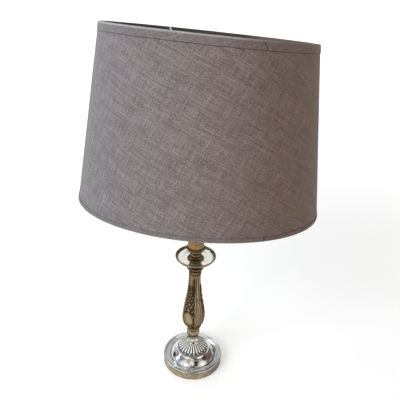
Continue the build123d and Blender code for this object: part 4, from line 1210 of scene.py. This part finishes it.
def make_tape(name, node, top):
    """Bias tape folded over a rim: outside, round the rim's wire, up the inside."""
    width = 10.3 if top else 5.0
    seam = radians(-66.5) if top else radians(-64.0)
    fine = 11.0 / (R_TOP if top else R_LOW)
    relc = np.concatenate([np.linspace(0, fine, 40), np.linspace(fine, 2 * pi - fine, 680)[1:-1], np.linspace(2 * pi - fine, 2 * pi, 40)])
    n = len(relc) - 1
    phi = relc[:-1] + seam
    # (offset outward, distance from the rim along the slant, share of the width)
    outs = [(0.10, 1.0), (0.30, 1.0), (0.62, 0.985)] + [(0.66, f) for f in (0.92, 0.84, 0.76, 0.68, 0.60, 0.52, 0.44, 0.36, 0.28)] + [(0.70, 0.20), (0.72, 0.12)]
    k = len(outs)
    ring = [(0.62, -0.15), (0.30, -0.62), (-0.4, -0.92), (-1.6, -0.95), (-2.9, -0.90), (-4.0, -0.62), (-4.75, 0.25), (-4.95, 1.5), (-4.8, 3.2),
            (-4.2, 4.6), (-3.2, 5.4), (-2.2, 5.9), (-1.75, 6.6), (-1.66, 8.0), (-1.66, 10.2)] if top else [(0.62, -0.15), (0.30, -0.62), (-0.4, -0.92), (-1.6, -0.95), (-2.9, -0.90), (-4.0, -0.62), (-4.75, 0.25), (-4.95, 1.5), (-4.8, 3.2),
            (-4.2, 4.6), (-3.2, 5.4), (-2.2, 5.9), (-1.75, 6.6), (-1.66, 7.6)]
    back = [(-1.16, ring[-1][1]), (-1.14, 6.4), (-1.12, 3.0), (-1.10, 0.3), (-0.8, 0.02), (-0.2, 0.0), (0.04, 0.3)]
    inner_back = [(0.05, 0.3), (0.05, 0.6), (0.05, 0.9)]
    A1 = phi[:, None]
    wid = tape_edge(phi, width, 31 if top else 33)
    cols_o, cols_d = [], []
    for o, f in outs:
        cols_o.append(np.full(n, o))
        cols_d.append(f * wid)
    for o, dd in ring + back:
        cols_o.append(np.full(n, o))
        cols_d.append(np.full(n, dd))
    for o, f in inner_back:
        cols_o.append(np.full(n, o))
        cols_d.append(f * wid)
    O, D = np.stack(cols_o, 1), np.stack(cols_d, 1)
    m = O.shape[1]
    # overlap: past the seam the tape lies on its own start for 14 mm, its end cut on the slant
    r_here = R_TOP if top else R_LOW
    arc = (relc[:-1][:, None]) * r_here
    arc = np.where(arc > pi * r_here, arc - 2 * pi * r_here, arc)       # mm from the seam, signed
    slant_cut = arc - (D / max(width, 1) - 0.5) * (8.4 if top else 2.0)
    over = smooth(slant_cut, -0.25, 0.25) * (1 - smooth(arc, 12.0, 20.0))
    outer_mask = np.zeros(m)
    outer_mask[1:k + 1] = 1.0
    pk = np.stack([np.cos(A1 + 0 * D) * 9.0, np.sin(A1 + 0 * D) * 9.0, D * 0.12], -1)
    pucker = 0.13 * value_noise(pk, 41 if top else 43, 2)
    O = O + over * 0.42 * outer_mask[None, :] + pucker * outer_mask[None, :]
    t = (1.0 - D / SLANT) if top else D / SLANT
    V = shade_point(np.clip(t, 0, 1), A1 + 0 * D, O, np.where(D < 0, (-D if top else D) * 1.0, 0.0)) * MM
    uvd = np.concatenate([D, D[:, :1]], 1)
    uvd = np.concatenate([uvd, uvd[:1]], 0)
    U = np.stack([np.repeat((relc * r_here * MM)[:, None], m + 1, 1), uvd * MM + 0.2], -1)
    # painted shadows: a dark line along the slanted end of the overlap and a faint one along the tape's lower edge
    seam_edge_shadow = 1.0 * np.exp(-((slant_cut + 0.4) / 0.85) ** 2) * outer_mask[None, :]
    low_edge_shadow = 0.12 * outer_mask[None, :] * (D > 0.985 * wid[:, None])
    fold, inside = np.zeros(m), np.zeros(m)
    fold[k - 1:k + 5] = (0.25, 0.95, 1.0, 1.0, 0.8, 0.35)
    inside[k + 5:k + len(ring)] = 0.86
    inside[k + 5] = 0.5
    # painted shade: the hand-folded inner side is darkened, least towards the right
    e = np.maximum.reduce([seam_edge_shadow, low_edge_shadow, inside[None, :] * (1 - 0.85 * smooth(np.cos(A1), 0.35, 0.70))])
    lit = fold[None, :] * (1.0 if top else 0.25) * (1 - 0.92 * smooth(np.cos(A1), 0.0, 0.62)) * (0.85 + 0.3 * value_noise(np.stack([np.cos(phi) * 12, np.sin(phi) * 12, phi * 0], -1), 61, 2))[:, None]
    nick = 0.45 * np.exp(-((slant_cut - 1.6) / 1.2) ** 2 - ((D - 0.90 * width) / 1.3) ** 2) * outer_mask[None, :] * top
    o = grid_object(name, V, uv=U, attrs={"edge": e, "lit": np.maximum(lit, nick)}, body="shade", material=linen_tape)
    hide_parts(node)
    return o


shade = make_shade()
tape_top = make_tape("tape_top_bias", "tape_top", True)
tape_low = make_tape("tape_low_bias", "tape_low", False)


def strut_tips():
    """The bent ends of the three struts, standing proud of the tape inside the top ring."""
    parts = []
    for k, az in enumerate((111.5, 231.5, 351.5)):
        a0 = radians(az)
        path = []
        for off, dd, da in ((-3.1, 15.0, 0.0), (-3.6, 12.6, -0.006), (-5.2, 10.6, -0.018), (-6.7, 8.6, -0.034), (-6.95, 6.0, -0.052), (-6.95, 3.4, -0.066), (-6.9, 1.4, -0.077), (-6.8, 0.2, -0.084)):
            path.append(shade_point(np.array(1.0 - dd / SLANT), np.array(a0 - da), np.array(off), np.array(0.0)))
        parts.append(tube_mesh(catmull([tuple(p) for p in path], 4), 1.15, 12))
    return parts


tips = raw_object("strut_tips", strut_tips(), white_wire, body="shade")

# ------------------------------------------------------------------ bulb
glass = lathe("bulb_glass_blown", profile([
    [(12.0, 379.6), (12.9, 379.6)],
    [(12.9, 379.6), (13.6, 384.0), (16.2, 392.0), (20.6, 401.0), (25.4, 410.0), (28.9, 419.0), (29.95, 427.0), (29.2, 436.0), (26.0, 445.0),
     (20.4, 451.8), (12.6, 455.6), (5.0, 456.7), (0.4, 456.8)],
    [(0.4, 456.8), (0.4, 455.9)],
    [(0.4, 455.9), (4.9, 455.7), (12.3, 454.5), (19.9, 450.9), (25.3, 444.3), (28.3, 435.7), (29.05, 427.0), (28.0, 419.2), (24.5, 410.4),
     (19.7, 401.4), (15.3, 392.4), (12.7, 384.2), (12.0, 379.6)]], per=8), 128, body="bulb", material=opal)
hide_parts("bulb_glass")
cap_pts = [(8.0, 355.6), (11.6, 355.6), (12.6, 356.2)] + [(13.05, z) for z in np.arange(356.8, 374.01, 0.3)] + [(13.1, 374.4), (13.45, 375.0), (13.5, 378.4), (12.9, 379.4),
            (12.3, 379.4), (12.2, 357.8), (8.0, 356.4)]
cap = lathe("bulb_cap_rolled", np.array(cap_pts), 96, helix(3.63, 0.9, 357.6, 373.2, 12.9), body="bulb", material=cap_metal)
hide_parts("bulb_cap")

# ------------------------------------------------------------------ floor, light and surroundings
fm = Mat("floor")
fn = fm.noise(fm.obj, 3.0, 4.0, 0.6)
fm.set(Base_Color=fm.mix(fm.span(fn, 0.0, 0.03), (0.84, 0.84, 0.84), (0.80, 0.80, 0.80)), Roughness=0.85)
fm.p.inputs["Emission Color"].default_value = (1, 1, 1, 1)
px, py, _ = fm.xyz(fm.obj)
far = fm.math("SQRT", fm.math("ADD", fm.math("MULTIPLY", px, px), fm.math("MULTIPLY", py, py)))
fm.put(fm.p.inputs["Emission Strength"], fm.math("ADD", 0.32, fm.math("MULTIPLY", fm.step(far, 0.3, 2.6), 0.50)))
me = bpy.data.meshes.new("floor")
ring_r = [0.0, 0.3, 1.0, 4.0, 20.0, 80.0]
fv = [(r * cos(a), r * sin(a), 0.0) for r in ring_r[1:] for a in np.linspace(0, 2 * pi, 65)[:-1]] + [(0, 0, 0)]
ff = []
for k in range(64):
    ff.append((len(fv) - 1, k, (k + 1) % 64))
    for j in range(len(ring_r) - 2):
        ff.append((j * 64 + k, (j + 1) * 64 + k, (j + 1) * 64 + (k + 1) % 64, j * 64 + (k + 1) % 64))
me.from_pydata(fv, [], ff)
me.materials.append(fm.m)
floor = bpy.data.objects.new("floor", me)
scene.collection.objects.link(floor)


def area_light(name, loc, target, size, energy, color):
    d = bpy.data.lights.new(name, "AREA")
    d.shape, d.size, d.size_y = "RECTANGLE", size[0], size[1]
    d.energy, d.color = energy, color
    o = bpy.data.objects.new(name, d)
    scene.collection.objects.link(o)
    o.location = loc
    o.rotation_mode = "QUATERNION"
    o.rotation_quaternion = (Vector(target) - Vector(loc)).to_track_quat("-Z", "Y")
    o.visible_camera = False
    return o


key = area_light("key", (-1.65, -1.35, 1.25), (0, 0, 0.38), (1.5, 1.3), 34.0, (0.90, 0.96, 1.0))
key.visible_glossy = False
area_light("glint", (-1.0, -1.7, 1.1), (0, 0, 0.2), (0.34, 0.6), 3.4, (1.0, 0.97, 0.92))
area_light("glint_left", (-1.9, -0.1, 1.0), (0, 0, 0.2), (0.3, 0.5), 2.6, (0.92, 0.97, 1.0))
area_light("fill", (1.6, -1.5, 0.9), (0, 0, 0.35), (0.8, 0.8), 1.2, (1.0, 0.62, 0.30))
area_light("top", (-0.4, 0.8, 2.2), (0, 0, 0.2), (1.4, 1.4), 7.0, (1.0, 1.0, 1.0))

world = bpy.data.worlds.new("world")
scene.world = world
world.use_nodes = True
wt = world.node_tree
wt.nodes.clear()
wo = wt.nodes.new("ShaderNodeOutputWorld")


def wnode(kind, **kw):
    n = wt.nodes.new(kind)
    for k, v in kw.items():
        setattr(n, k, v)
    return n


def wmath(op, a, b=0.0, clamp=False):
    n = wnode("ShaderNodeMath", operation=op, use_clamp=clamp)
    for s, v in zip(n.inputs, (a, b)):
        if isinstance(v, bpy.types.NodeSocket):
            wt.links.new(v, s)
        else:
            s.default_value = v
    return n.outputs[0]


def wstep(x, a, b):
    n = wnode("ShaderNodeMapRange", interpolation_type="SMOOTHSTEP")
    wt.links.new(x, n.inputs[0])
    n.inputs[1].default_value, n.inputs[2].default_value = a, b
    return n.outputs[0]


def wmix(fac, a, b):
    n = wnode("ShaderNodeMix", data_type="RGBA")
    for s, v in ((n.inputs[0], fac), (n.inputs[6], a), (n.inputs[7], b)):
        if isinstance(v, bpy.types.NodeSocket):
            wt.links.new(v, s)
        elif isinstance(v, tuple):
            s.default_value = (*v, 1.0)
        else:
            s.default_value = v
    return n.outputs[2]


tc = wnode("ShaderNodeTexCoord")
sep = wnode("ShaderNodeSeparateXYZ")
wt.links.new(tc.outputs["Generated"], sep.inputs[0])
dx, dy, dz = sep.outputs
# a pale room: a cool window side on the left and behind, a dim warm side on the right
back = wstep(dy, -0.35, 0.55)
col = wmix(back, (0.46, 0.45, 0.44), (0.60, 0.63, 0.64))
left = wstep(wmath("MULTIPLY", dx, -1.0), 0.25, 0.80)
col = wmix(left, col, (0.62, 0.66, 0.70))
right = wstep(dx, 0.35, 0.85)
col = wmix(wmath("MULTIPLY", right, 0.9), col, (0.17, 0.105, 0.06))


def patch(col, az, el, rad, soft, to):
    """A soft round patch of the room in one direction."""
    d = (cos(radians(az)) * cos(radians(el)), sin(radians(az)) * cos(radians(el)), sin(radians(el)))
    dot = wmath("ADD", wmath("ADD", wmath("MULTIPLY", dx, d[0]), wmath("MULTIPLY", dy, d[1])), wmath("MULTIPLY", dz, d[2]))
    return wmix(wstep(dot, cos(radians(rad + soft)), cos(radians(rad))), col, to)


col = patch(col, -37, 20, 14, 13, (1.1, 1.05, 0.95))
col = patch(col, -92, 46, 9, 4, (1.15, 1.08, 0.95))
col = patch(col, -128, 26, 20, 8, (0.98, 1.02, 1.06))
col = patch(col, -168, 44, 12, 8, (0.30, 0.31, 0.32))
col = patch(col, 172, 26, 7, 4, (0.34, 0.28, 0.26))
col = patch(col, -66, 46, 9, 3, (0.02, 0.02, 0.022))
col = patch(col, -70, 32, 7, 3, (0.03, 0.03, 0.032))
col = patch(col, -114, 46, 2, 9, (0.70, 0.46, 0.25))
col = patch(col, 161, 10, 8, 4, (0.06, 0.05, 0.045))
col = patch(col, -10, 38, 8, 4, (0.05, 0.035, 0.03))
col = patch(col, -85, 12, 10, 6, (0.14, 0.09, 0.06))
high = wstep(dz, 0.80, 0.97)
col = wmix(wmath("MULTIPLY", high, 0.6), col, (0.60, 0.62, 0.64))
lp = wnode("ShaderNodeLightPath")
col = wmix(lp.outputs["Is Camera Ray"], col, (1.1, 1.1, 1.1))
bg = wnode("ShaderNodeBackground")
wt.links.new(col, bg.inputs[0])
bg.inputs[1].default_value = 0.9
wt.links.new(bg.outputs[0], wo.inputs[0])
